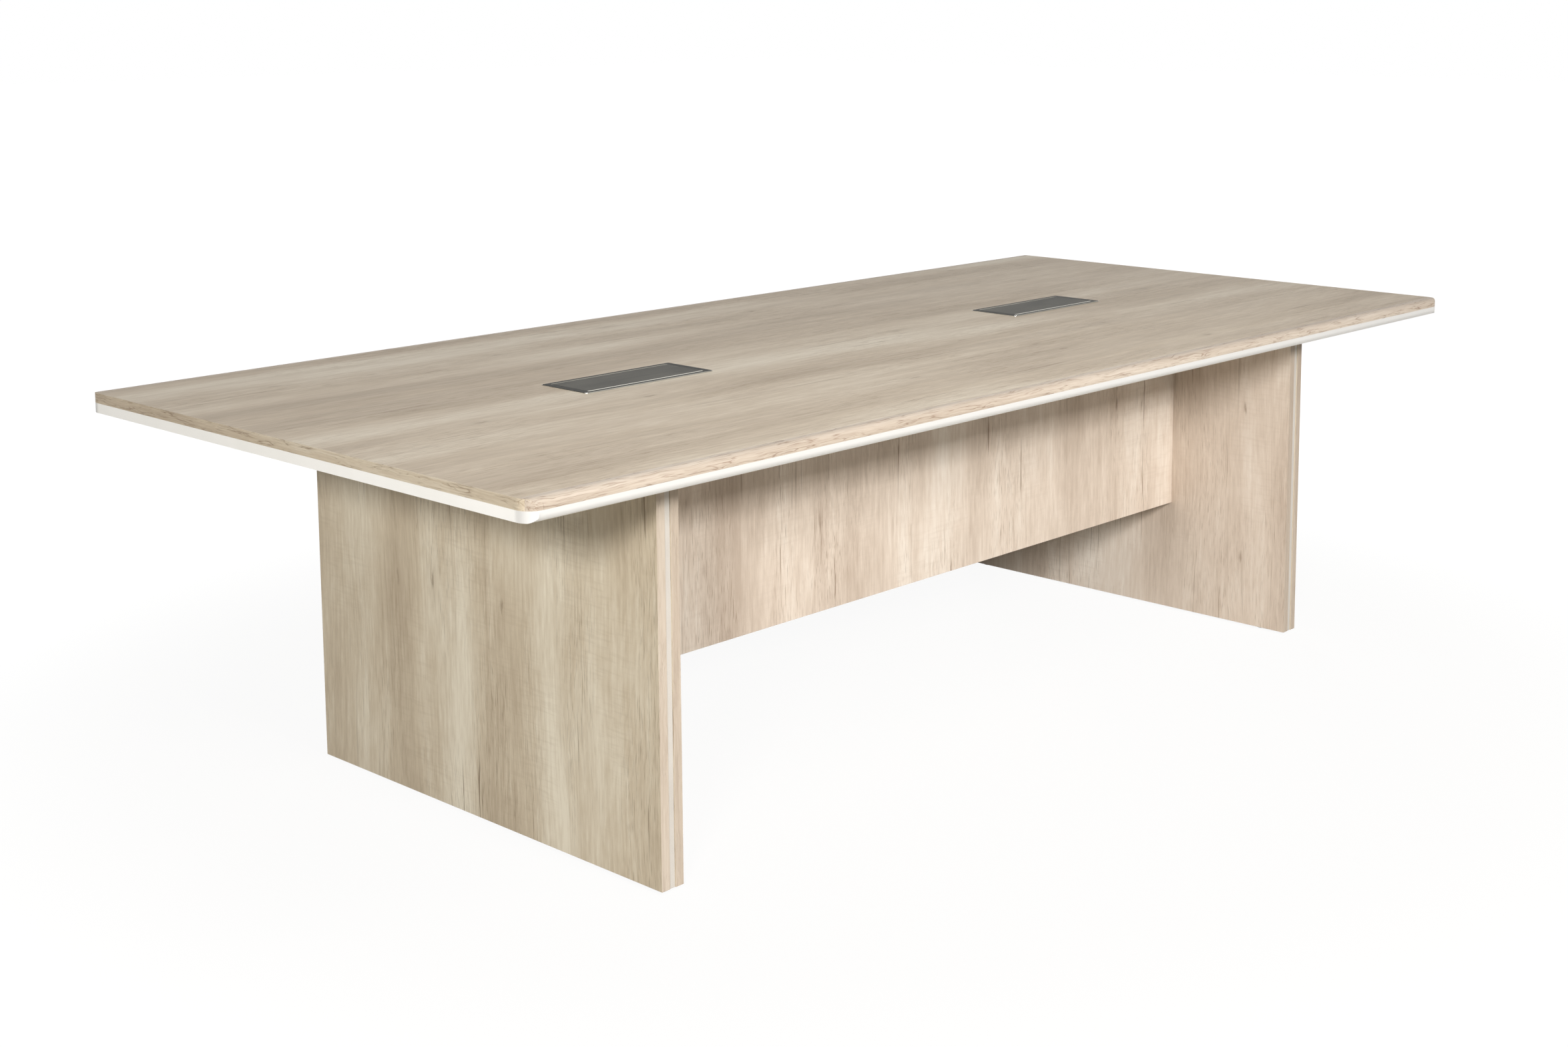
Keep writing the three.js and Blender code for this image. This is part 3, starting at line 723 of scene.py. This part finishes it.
# %% Legs
PANEL_ARRIS = 0.6 * MM


def make_panel(kind, node, slot, across, *finishes):
    """A board with soft edges, whose last finish goes on all but its two broad faces."""
    panel = block(f"{kind}_{node}", *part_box(node))
    round_edges(panel, PANEL_ARRIS, 2, anything)
    even_shade(panel)
    fit(panel, node, slot, *finishes)
    paint(panel, len(finishes) - 1, lambda middle, normal: abs(getattr(normal, across)) < 0.5)


for side in SIDES:
    for layer in ("outer", "inner"):
        node = f"{side}_leg_{layer}_panel"
        finish = inner_oak if node == "right_leg_inner_panel" else leg_oak[side]
        make_panel("oak", node, "oak_panel", "x", finish, panel_edge)
    make_panel("white", f"{side}_leg_core", "white_board", "x", white_core)
print("legs: 2, of three layers each")

# %% [markdown]
# ## The cable spine
# Two panels between the legs hide the cables, and a shelf between them carries the slack. The panels are
# banded along their lower edge. The shelf has a slot with round ends, where leads go down to the floor.

# %% Spine panels, shelf and battens
SLOT_LENGTH = 160 * MM
SLOT_WIDTH = 80 * MM
BATTEN_ARRIS = 1.5 * MM

for name in ENDS:
    make_panel("oak", f"{name}_spine_panel", "oak_panel", "y", spine_oak, panel_edge)

shelf_low, shelf_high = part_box("cable_shelf")
shelf = block("white_cable_shelf", shelf_low, shelf_high)
slot_cut = centred("slot", SLOT_LENGTH / 2, SLOT_WIDTH / 2, shelf_low.z - SPARE, shelf_high.z + SPARE)
round_edges(slot_cut, SLOT_WIDTH / 2 - FIT_GAP, ROUND_STEPS, along("z"))
cut(shelf, slot_cut)
soften(shelf, PANEL_ARRIS)
even_shade(shelf)
fit(shelf, "cable_shelf", "white_board", white_board)

for side, end in CORNERS:
    node = f"{side}_{end}_spine_batten"
    batten = block(f"pine_{node}", *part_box(node))
    round_edges(batten, BATTEN_ARRIS, 3, anything)
    even_shade(batten)
    fit(batten, node, "raw_batten", raw_batten)
print("spine: shelf", len(shelf.data.polygons), "faces")

# %% [markdown]
# ## Steel angles, screws and glides
# Four folded steel angles hold the legs to the under board. One is modelled for the left front corner: a
# flat bar is split near the leg, and the small strip of its underside is extruded down to make the other
# flange. Its free corners are rounded and its screw holes are bored. The other three are copies.

# %% Angles
ANGLE_THICKNESS = 3 * MM
ANGLE_ARRIS = 0.3 * MM
BEND_INSIDE = 2 * MM
FREE_CORNER = 8 * MM
HOLE_RADIUS = 2.8 * MM
HOLE_PLACE = 30 * MM

angle_low, angle_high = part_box("left_front_leg_angle")
leg_face = angle_low.x
angle_y = (angle_low.y + angle_high.y) / 2
bend_x = leg_face + ANGLE_THICKNESS
shelf_z = angle_high.z - ANGLE_THICKNESS
angle = block("zinc_angle", (leg_face, angle_low.y, shelf_z), angle_high)
pick(angle, "FACE", anything)
bpy.ops.mesh.bisect(plane_co=(bend_x, 0, 0), plane_no=(1, 0, 0))
leave()
pick(angle, "FACE", lambda middle, normal: normal.z < -0.9 and middle.x < bend_x)
pull(angle_low.z - shelf_z)
leave()


def free_corner(middle, run):
    if abs(run.z) > 0.9:
        return middle.x > angle_high.x - NEAR
    return abs(run.x) > 0.9 and middle.z < angle_low.z + NEAR


round_edges(angle, FREE_CORNER, 6, free_corner)
round_edges(angle, BEND_INSIDE, 4, lambda middle, run: abs(run.y) > 0.9 and abs(middle.x - bend_x) < NEAR
            and abs(middle.z - shelf_z) < NEAR)
drill(angle, HOLE_RADIUS, leg_face + HOLE_PLACE, angle_y, shelf_z - SPARE, angle_high.z + SPARE)
side_hole = bar("hole", HOLE_RADIUS, (leg_face - SPARE, angle_y, angle_high.z - HOLE_PLACE),
                (bend_x + SPARE, angle_y, angle_high.z - HOLE_PLACE))
cut(angle, side_hole)
soften(angle, ANGLE_ARRIS)
even_shade(angle)
for side, end in CORNERS:
    node = f"{side}_{end}_leg_angle"
    move = (0, 0 if end == "front" else -2 * angle_y, 0)
    fit(copy_of(angle, f"zinc_{node}", move, side == "right"), node, "zinc_steel", zinc_steel)
discard(angle)
print("angles: 4 copies")

# %% [markdown]
# A pan head screw is a short cylinder with a domed rim. Its shank grows from the flat face by inset and
# extrude, and a cross made of two thin blocks cuts the recess. Eight copies are turned into place.

# %% Screws
HEAD_RADIUS = 6 * MM
HEAD_HEIGHT = 3.5 * MM
HEAD_ROUND = 1.9 * MM
TIP_LENGTH = 2.5 * MM
TIP_SHARE = 0.12
SHANK_RADIUS = 2.5 * MM
SCREW_LENGTH = 17 * MM
RECESS_LENGTH = 6 * MM
RECESS_WIDTH = 1.1 * MM
RECESS_DEPTH = 1.8 * MM

screw = bar("zinc_screw", HEAD_RADIUS, (0, 0, -HEAD_HEIGHT), (0, 0, 0))
round_edges(screw, HEAD_ROUND, 5, lambda middle, run: middle.z < -HEAD_HEIGHT + NEAR)
pick(screw, "FACE", facing_up)
bpy.ops.mesh.inset(thickness=HEAD_RADIUS - SHANK_RADIUS)
pull(SCREW_LENGTH - TIP_LENGTH)
pull(TIP_LENGTH)
bpy.ops.transform.resize(value=(TIP_SHARE, TIP_SHARE, 1))
leave()
for half in ((RECESS_LENGTH / 2, RECESS_WIDTH / 2), (RECESS_WIDTH / 2, RECESS_LENGTH / 2)):
    slit = centred("slit", *half, -HEAD_HEIGHT - SPARE, -HEAD_HEIGHT + RECESS_DEPTH)
    cut(screw, slit)
even_shade(screw)
for side, end in CORNERS:
    sign = 1 if side == "right" else -1
    for way in ("top", "leg"):
        node = f"{side}_{end}_{way}_screw"
        low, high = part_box(node)
        place = (low + high) / 2
        twin = copy_of(screw, f"zinc_{node}")
        if way == "leg":
            twin.data.transform(Matrix.Rotation(sign * math.pi / 2, 4, "Y"))
            place.x = high.x - SCREW_LENGTH if sign > 0 else low.x + SCREW_LENGTH
        else:
            place.z = high.z - SCREW_LENGTH
        twin.data.transform(Matrix.Translation(place))
        fit(twin, node, "zinc_steel", zinc_steel)
discard(screw)
print("screws: 8 copies")

# %% [markdown]
# Under each leg sit two round plastic glides, each with a pin pressed into the leg's white core. A glide is
# a low cylinder rounded below. Its top face is inset to the pin's radius and pulled up to make the pin.

# %% Glides
GLIDE_ROUND = 1.2 * MM
GLIDE_HEIGHT = 4 * MM
PIN_RADIUS = 3 * MM

glide_low, glide_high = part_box("left_front_glide")
glide_radius = (glide_high.x - glide_low.x) / 2
glide = bar("black_glide", glide_radius, (0, 0, 0), (0, 0, GLIDE_HEIGHT), 48)
round_edges(glide, GLIDE_ROUND, 4, lambda middle, run: middle.z < NEAR)
pick(glide, "FACE", facing_up)
bpy.ops.mesh.inset(thickness=glide_radius - PIN_RADIUS)
pull(glide_high.z - GLIDE_HEIGHT)
leave()
even_shade(glide)
for side, end in CORNERS:
    node = f"{side}_{end}_glide"
    low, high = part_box(node)
    move = ((low.x + high.x) / 2, (low.y + high.y) / 2, 0)
    fit(copy_of(glide, f"black_{node}", move), node, "black_plastic", black_plastic)
discard(glide)
print("glides: 4 copies")

# %% [markdown]
# ## The power boxes
# Everything in a power box is modelled once for the left one and copied to the right. The frame is a thin
# satin rim with a neck that goes down through both boards. Its front and rear outer edges wear a lighter
# grey, a painted highlight line, and the walls of its opening and its small round corners wear bright metal,
# painted glints.

# %% Frame of a power box
frame_low, frame_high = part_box("left_box_frame")
rod_low, rod_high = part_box("left_box_hinge_rod")
lid_low, lid_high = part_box("left_box_lid")
box_x = (frame_low.x + frame_high.x) / 2
right_move = (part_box("right_box_frame")[0].x - frame_low.x, 0, 0)


def right_twin(piece, mirror):
    """The right box's copy of a piece of the left one."""
    move = (0, 0, 0) if mirror else right_move
    return copy_of(piece, piece.name.replace("left", "right"), move, mirror)


def pair(piece, node, slot, *finishes, mirror=False):
    """Shade a piece of the left box, copy it to the right one, and fit both."""
    even_shade(piece)
    twin = right_twin(piece, mirror)
    fit(piece, f"left_box_{node}", slot, *finishes)
    fit(twin, f"right_box_{node}", slot, *finishes)


RIM_CORNER = 4 * MM
RIM_EDGE = 0.9 * MM
RIM_BAND = 1.2 * MM
END_BAR = 14 * MM
SIDE_BAR = 10 * MM
LEDGE = 2 * MM
LEDGE_DROP = 15 * MM
NECK_END = 6 * MM
NECK_SIDE = 4 * MM
NECK_CORNER = 3.5 * MM
OPENING_CORNER = 2 * MM
ROD_SEAT = 1.8 * MM

rim = block("satin_left_box_frame", (frame_low.x, frame_low.y, top_z), frame_high)
round_edges(rim, RIM_CORNER, 8, along("z"))
round_edges(rim, RIM_EDGE, 3, level(frame_high.z))
neck = block("neck", (frame_low.x + NECK_END, frame_low.y + NECK_SIDE, frame_low.z),
             (frame_high.x - NECK_END, frame_high.y - NECK_SIDE, frame_high.z - SPARE))
round_edges(neck, NECK_CORNER, 6, along("z"))
join_shape(rim, neck, "UNION")
opening_low = Vector((frame_low.x + END_BAR, frame_low.y + SIDE_BAR, frame_high.z - LEDGE_DROP))
opening_high = Vector((frame_high.x - END_BAR, frame_high.y - SIDE_BAR, frame_high.z + SPARE))
opening = block("opening", opening_low, opening_high)
cut(rim, round_edges(opening, OPENING_CORNER, 6, along("z")))
throat = block("throat", (opening_low.x + LEDGE, opening_low.y + LEDGE, frame_low.z - SPARE),
               (opening_high.x - LEDGE, opening_high.y - LEDGE, opening_low.z + SPARE))
cut(rim, round_edges(throat, OPENING_CORNER, 6, along("z")))
rod_y = (rod_low.y + rod_high.y) / 2
rod_z = (rod_low.z + rod_high.z) / 2
rod_bore = bar("bore", ROD_SEAT, (rod_low.x - FIT_GAP, rod_y, rod_z),
               (rod_high.x + FIT_GAP, rod_y, rod_z), 24)
cut(rim, rod_bore)


def glint_face(middle, normal):
    """The walls of the opening and the small round corners, which wear bright metal as painted glints."""
    inside = opening_low.z < middle.z < frame_high.z and abs(middle.y) < opening_high.y + NEAR
    from_end = frame_high.x - box_x - abs(middle.x - box_x)
    from_side = frame_high.y - abs(middle.y)
    corner = from_end < RIM_CORNER and from_side < RIM_CORNER
    return (inside and abs(normal.z) < 0.1) or (corner and middle.z > top_z and normal.z < 0.97)


def painted_line_face(middle, normal):
    """The front and rear outer edges of the rim, which wear a lighter grey as a painted highlight line."""
    return abs(middle.y) > frame_high.y - RIM_BAND and middle.z > top_z and abs(normal.y) > 0.25


even_shade(rim)
fit(rim, "left_box_frame", "frame_metal", frame_metal, glint_metal, frame_painted_line)
# Painted highlights: a lighter grey on the front and rear edges, bright metal on the opening walls and round
# corners.
paint(rim, 2, painted_line_face)
paint(rim, 1, glint_face)
# This copy is made after the painting, so it keeps the painted faces.
right_rim = copy_of(rim, "satin_right_box_frame", right_move)
fit(right_rim, "right_box_frame", "frame_metal", frame_metal, glint_metal, frame_painted_line)
print("frames:", len(rim.data.polygons), "faces each")

# %% [markdown]
# The lid is a brushed plate. Its two long edges have a chamfer in bright metal, a painted highlight along
# them, and a rod runs through its rear edge. It closes flush with the frame.

# %% Lids and hinge rods
LID_CHAMFER = 2 * MM
LID_ARRIS = 0.25 * MM
ROD_EDGE = 0.4 * MM


def chamfer_face(middle, normal):
    return 0.3 < normal.z < 0.95 and abs(normal.y) > 0.3


lid = block("brushed_left_box_lid", lid_low, lid_high)
round_edges(lid, LID_CHAMFER, 1, along("x", lid_high.z))
lid_bore = bar("bore", ROD_SEAT, (lid_low.x - SPARE, rod_y, rod_z), (lid_high.x + SPARE, rod_y, rod_z), 24)
cut(lid, lid_bore)
soften(lid, LID_ARRIS, 60)
for finish in (lid_metal, lid_glint_metal):
    lid.data.materials.append(finish)
# Painted highlight: the chamfers wear the bright metal.
paint(lid, 1, chamfer_face)
pair(lid, "lid", "lid_metal", lid_metal, lid_glint_metal)

rod_radius = (rod_high.z - rod_low.z) / 2
rod = bar("zinc_left_hinge_rod", rod_radius, (rod_low.x, rod_y, rod_z), (rod_high.x, rod_y, rod_z), 24)
round_edges(rod, ROD_EDGE, 2, lambda middle, run: abs(run.x) < 0.1)
pair(rod, "hinge_rod", "zinc_steel", zinc_steel)
print("lids:", len(lid.data.polygons), "faces each")

# %% [markdown]
# The tray below is folded from sheet steel, so its folds are round inside and out. A box without its lid
# gets rounded folds, its top edges are pulled out into a rim that lies on the frame's ledge, and Solidify
# gives the sheet its thickness.

# %% Trays
SHEET = 1.5 * MM
FOLD = 2 * MM
RIM_PLAY = 0.1 * MM
TAB_WIDTH = 12 * MM
TAB_CORNER = 3 * MM
OUTLET_LENGTH = 60 * MM
OUTLET_WIDTH = 26 * MM
OUTLET_CORNER = 4 * MM
INLET_RIM = 4 * MM
THROUGH = 4 * MM  # how far a cutter reaches through the sheet

tray_low, tray_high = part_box("left_box_tray")
inlet_low, inlet_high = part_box("left_box_mains_inlet")
plate_low, plate_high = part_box("left_box_socket_plate")
ledge_z = opening_low.z
rim_z = ledge_z + SHEET
wall_x = opening_high.x - LEDGE - FIT_GAP - box_x
wall_y = opening_high.y - LEDGE - FIT_GAP
tray = centred("steel_left_box_tray", wall_x, wall_y, tray_low.z, rim_z, box_x)
pick(tray, "FACE", facing_up)
bpy.ops.mesh.delete(type="ONLY_FACE")
leave()
round_edges(tray, FOLD, 4, lambda middle, run: middle.z < rim_z - NEAR)
pick(tray, "EDGE", lambda middle, run: middle.z > rim_z - NEAR)
rim_reach = LEDGE - RIM_PLAY
pull(0)
grow = ((wall_x + rim_reach) / wall_x, (wall_y + rim_reach) / wall_y, 1)
bpy.ops.transform.resize(value=grow, center_override=(box_x, 0, rim_z))
leave()
modify(tray, "SOLIDIFY", thickness=SHEET, offset=-1, use_even_offset=True)
for end in (-1, 1):
    near_x = box_x + end * (wall_x - SHEET)
    far_x = box_x + end * wall_x
    tab = block("tab", (min(near_x, far_x), -wall_y + SHEET, rim_z - SPARE),
                (max(near_x, far_x), -wall_y + SHEET + TAB_WIDTH, tray_high.z))
    round_edges(tab, TAB_CORNER, 4, along("x", tray_high.z))
    join_shape(tray, tab, "UNION")
hole_inset = INLET_RIM - FIT_GAP
inlet_hole = block("hole", (box_x + wall_x - THROUGH, inlet_low.y + hole_inset, inlet_low.z + hole_inset),
                   (box_x + wall_x + THROUGH, inlet_high.y - hole_inset, inlet_high.z - hole_inset))
cut(tray, inlet_hole)
outlet_y = (plate_low.y - wall_y + SHEET) / 2
outlet = centred("outlet", OUTLET_LENGTH / 2, OUTLET_WIDTH / 2, tray_low.z - SPARE, tray_low.z + THROUGH,
                 box_x, outlet_y)
cut(tray, round_edges(outlet, OUTLET_CORNER, 5, along("z")))
pick(tray, "FACE", anything)
bpy.ops.mesh.remove_doubles(threshold=NEAR)
leave()
pair(tray, "tray", "tray_steel", tray_steel, mirror=True)
print("trays:", len(tray.data.polygons), "faces each")

# %% [markdown]
# The sockets stand on a folded channel. It is a box with its bottom and ends deleted, folded round at the
# top and thickened, with a window cut for each module.

# %% Socket channel
module_nodes = [f"power_socket_{i}" for i in (1, 2, 3)] + [f"data_port_{i}" for i in (1, 2)]
MODULE_RIM = 2 * MM

channel = block("steel_left_socket_plate", plate_low, plate_high)
pick(channel, "FACE", lambda middle, normal: normal.z < -0.9 or abs(normal.x) > 0.9)
bpy.ops.mesh.delete(type="ONLY_FACE")
leave()
round_edges(channel, FOLD, 4, along("x", plate_high.z))
modify(channel, "SOLIDIFY", thickness=SHEET, offset=-1)
for name in module_nodes:
    low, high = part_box(f"left_box_{name}")
    inset = MODULE_RIM - FIT_GAP
    window = block("window", (low.x + inset, low.y + inset, plate_high.z - THROUGH),
                   (high.x - inset, high.y - inset, plate_high.z + SPARE))
    cut(channel, window)
pair(channel, "socket_plate", "tray_steel", tray_steel)
print("socket channels:", len(channel.data.polygons), "faces each")

# %% [markdown]
# A mains socket is a square plate with a round well, two pin holes and two sprung earth contacts on the
# well's wall. It starts as a plate with a body below it, and cutters make the hollows, so that each hole
# has real walls.

# %% Sockets
FACE_THICKNESS = 2 * MM
FACE_CORNER = 1.5 * MM
FACE_EDGE = 0.6 * MM
WELL_RADIUS = 19 * MM
WELL_DEPTH = 12 * MM
WELL_REACH = 5 * MM
PIN_HOLE = 2.5 * MM
PIN_SPACING = 19 * MM
PIN_DEPTH = 9 * MM
EARTH_SIZE = (5 * MM, 0.8 * MM, 9 * MM)


def module_blank(kind, name):
    low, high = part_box(f"left_box_{name}")
    plate = block(f"{kind}_left_{name}", (low.x, low.y, high.z - FACE_THICKNESS), high)
    round_edges(plate, FACE_CORNER, 4, along("z"))
    round_edges(plate, FACE_EDGE, 3, level(high.z))
    body = block("body", (low.x + MODULE_RIM, low.y + MODULE_RIM, low.z),
                 (high.x - MODULE_RIM, high.y - MODULE_RIM, high.z - SPARE))
    join_shape(plate, body, "UNION")
    return plate, (low + high) / 2, high.z


def add_contact(owner, name, place, size, copies=1, pitch=0.0, mirror=False):
    """Small metal contacts: one strip with soft ends, repeated in one mesh and copied to the right box."""
    half = Vector(size) / 2
    strip = block(name, Vector(place) - half, Vector(place) + half)
    round_edges(strip, min(size) * 0.3, 2, anything)
    if copies > 1:
        modify(strip, "ARRAY", count=copies, use_relative_offset=False, use_constant_offset=True,
               constant_offset_displace=(pitch, 0, 0))
    even_shade(strip)
    strip.data.materials.append(contact_metal)
    twin = right_twin(strip, mirror)
    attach(strip, node_body[f"left_box_{owner}"])
    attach(twin, node_body[f"right_box_{owner}"])


for name in module_nodes[:3]:
    socket, centre, face_z = module_blank("white", name)
    floor_z = face_z - WELL_DEPTH
    drill(socket, WELL_RADIUS, centre.x, centre.y, floor_z, face_z + WELL_REACH, 64)
    for way in (-1, 1):
        pin_x = centre.x + way * PIN_SPACING / 2
        drill(socket, PIN_HOLE, pin_x, centre.y, floor_z - PIN_DEPTH, floor_z + SPARE, 24)
    pair(socket, name, "white_plastic", white_plastic)
    for way, end in ((-1, "front"), (1, "rear")):
        place = (centre.x, centre.y + way * (WELL_RADIUS - EARTH_SIZE[1]), face_z - WELL_DEPTH / 2)
        add_contact(name, f"earth_left_{name}_{end}", place, EARTH_SIZE)
print("mains sockets: 6, with 12 earth contacts")

# %% [markdown]
# A network port is a narrow plate with a stepped hole and a row of contacts. It starts from the same blank
# as the sockets. One contact is modelled, and an array modifier repeats it along the row.

# %% Network ports
PORT_LENGTH = 14 * MM
PORT_WIDTH = 12 * MM
PORT_DEPTH = 14 * MM
LATCH_LENGTH = 6 * MM
LATCH_WIDTH = 3 * MM
CONTACT_COUNT = 8
CONTACT_SIZE = (0.5 * MM, 0.5 * MM, 10 * MM)
CONTACT_INSET = 0.6 * MM
CONTACT_PITCH = 1.02 * MM

for name in module_nodes[3:]:
    port, centre, face_z = module_blank("black", name)
    hole = centred("hole", PORT_LENGTH / 2, PORT_WIDTH / 2, face_z - PORT_DEPTH, face_z + SPARE,
                   centre.x, centre.y)
    cut(port, hole)
    edge_y = centre.y - PORT_WIDTH / 2
    latch = block("latch", (centre.x - LATCH_LENGTH / 2, edge_y - LATCH_WIDTH, face_z - PORT_DEPTH / 2),
                  (centre.x + LATCH_LENGTH / 2, edge_y + SPARE, face_z + SPARE))
    cut(port, latch)
    pair(port, name, "black_plastic", black_plastic)
    first_x = centre.x - CONTACT_PITCH * (CONTACT_COUNT - 1) / 2
    place = (first_x, centre.y + PORT_WIDTH / 2 - CONTACT_INSET, face_z - PORT_DEPTH / 2)
    add_contact(name, f"contacts_left_{name}", place, CONTACT_SIZE, CONTACT_COUNT, CONTACT_PITCH)
print("network ports: 4")

# %% [markdown]
# The mains lead plugs into an inlet in the tray's end wall. It is a flanged plate with a body behind it and
# a well for the connector, whose upper corners are rounded so that it goes in one way only. Three blades
# stand in the well.

# %% Mains inlets
INLET_FACE = 2 * MM
INLET_CORNER = 3 * MM
INLET_WALL = 2.5 * MM
INLET_DEPTH = 14 * MM
BLADE_SIZE = (12 * MM, 2 * MM, 4 * MM)
BLADE_SPREAD = 7 * MM

inlet_y = (inlet_low.y + inlet_high.y) / 2
inlet_z = (inlet_low.z + inlet_high.z) / 2
inlet = block("black_left_mains_inlet", (inlet_high.x - INLET_FACE, inlet_low.y, inlet_low.z), inlet_high)
round_edges(inlet, INLET_CORNER, 5, along("x"))
round_edges(inlet, FACE_EDGE, 3, lambda middle, run: abs(run.x) < 0.1 and middle.x > inlet_high.x - NEAR)
body = block("body", (inlet_low.x, inlet_low.y + INLET_RIM, inlet_low.z + INLET_RIM),
             (inlet_high.x - SPARE, inlet_high.y - INLET_RIM, inlet_high.z - INLET_RIM))
join_shape(inlet, body, "UNION")
inset = INLET_RIM + INLET_WALL
well = block("well", (inlet_high.x - INLET_DEPTH, inlet_low.y + inset, inlet_low.z + inset),
             (inlet_high.x + SPARE, inlet_high.y - inset, inlet_high.z - inset))
round_edges(well, INLET_CORNER, 4, along("x", inlet_z))
cut(inlet, well)
pair(inlet, "mains_inlet", "black_plastic", black_plastic, mirror=True)
blade_x = inlet_high.x - INLET_DEPTH + BLADE_SIZE[0] / 2
for index, (step_y, step_z) in enumerate(((-1, -0.2), (0, 0.25), (1, -0.2))):
    place = (blade_x, inlet_y + step_y * BLADE_SPREAD, inlet_z + step_z * BLADE_SPREAD)
    add_contact("mains_inlet", f"blade_left_inlet_{index + 1}", place, BLADE_SIZE, mirror=True)
print("mains inlets: 2, with 6 blades")

# %% [markdown]
# ## Floor and light
# The table stands on a pale studio floor. The floor is a real surface that takes the table's shadow, and
# rays from the camera see it lifted towards white, so that the picture's ground is as plain as in the
# photograph. Two soft lamps stand in front and on the left, high enough for the overhanging top to shade
# the panels below it, a weak one hangs over the front edge, and one behind lights the rear for other views.

# %% Floor and world
FLOOR_SIZE = 60
FLOOR_DROP = 0.2 * MM
FLOOR_PALE = (0.425, 0.40, 0.355, 1)
FLOOR_DARK = (0.40, 0.36, 0.31, 1)
LIFT = 0.88
GLOW = 1.06
SHADOW_REACH = (1.2, 2.6)
WORLD_STRENGTH = 0.12


def floor_finish():
    recipe = Recipe("studio_floor")
    slow = recipe.fibres(recipe.place, 1.5, 1.5, 3.0)
    colour = recipe.mix(slow * 0.05, FLOOR_PALE, FLOOR_DARK)
    matt = recipe.node("ShaderNodeBsdfDiffuse", {}, {"Color": colour})
    glow = recipe.node("ShaderNodeEmission", {}, {"Color": (1, 1, 1, 1), "Strength": GLOW})
    away = recipe.vector("LENGTH", recipe.place, output="Value")
    far = recipe.step(away, SHADOW_REACH[0], SHADOW_REACH[1])
    share = seen_directly(recipe) * (LIFT + far * (1 - LIFT))
    both = recipe.node("ShaderNodeMixShader", {}, {0: share, 1: matt, 2: glow})
    recipe.node("ShaderNodeOutputMaterial", {}, {"Surface": both})
    return recipe.material


def seen_directly(recipe):
    """One where a ray comes from the camera, a mirror or glass, and none where it only carries light."""
    rays = ("Is Camera Ray", "Is Glossy Ray", "Is Transmission Ray")
    seen, mirrored, through = (recipe.node("ShaderNodeLightPath", {}, {}, ray) for ray in rays)
    return recipe.node("ShaderNodeClamp", {}, {"Value": seen + mirrored + through})


bpy.ops.object.select_all(action="DESELECT")
bpy.ops.mesh.primitive_plane_add(size=FLOOR_SIZE, location=(0, 0, -FLOOR_DROP))
floor = bpy.context.object
floor.name = "studio_floor"
floor.data.materials.append(floor_finish())


class WorldRecipe(Recipe):
    """The same tools for the studio around the table."""

    def __init__(self, world):
        world.use_nodes = True
        self.tree = world.node_tree
        self.tree.nodes.clear()


world = bpy.data.worlds.new("studio")
bpy.context.scene.world = world
studio = WorldRecipe(world)
strength = WORLD_STRENGTH + seen_directly(studio) * (1 - WORLD_STRENGTH)
sky = studio.node("ShaderNodeBackground", {}, {"Color": (1, 1, 1, 1), "Strength": strength})
studio.node("ShaderNodeOutputWorld", {}, {"Surface": sky})
print("floor", FLOOR_SIZE, "m wide, world at", WORLD_STRENGTH)

# %% Lamps
AIM = Vector((0, 0, 0.45))
WARM = (1.0, 0.985, 0.96)
LAMPS = (
    ("front_lamp", (-0.8, -7.0, 3.6), (1.6, 0.8), 412, (0.99, 0.978, 0.955)),
    ("left_lamp", (-6.0, -4.2, 2.9), (1.2, 0.8), 390, WARM),
    ("overhead_lamp", (-0.4, -1.6, 2.2), (2.0, 0.6), 16, WARM),
    ("rear_lamp", (5.0, 5.0, 2.0), (1.6, 1.0), 150, WARM),
)


def make_lamp(name, place, size, power, colour):
    data = bpy.data.lights.new(name, "AREA")
    data.shape = "RECTANGLE"
    data.size, data.size_y = size
    data.energy = power
    data.color = colour
    lamp = bpy.data.objects.new(name, data)
    bpy.context.scene.collection.objects.link(lamp)
    lamp.location = place
    lamp.rotation_euler = (AIM - Vector(place)).to_track_quat("-Z", "Y").to_euler()
    lamp.visible_camera = False
    lamp.visible_glossy = name != "rear_lamp"


for lamp in LAMPS:
    make_lamp(*lamp)
bpy.context.scene.view_settings.view_transform = "Standard"
print("lamps:", [lamp[0] for lamp in LAMPS])
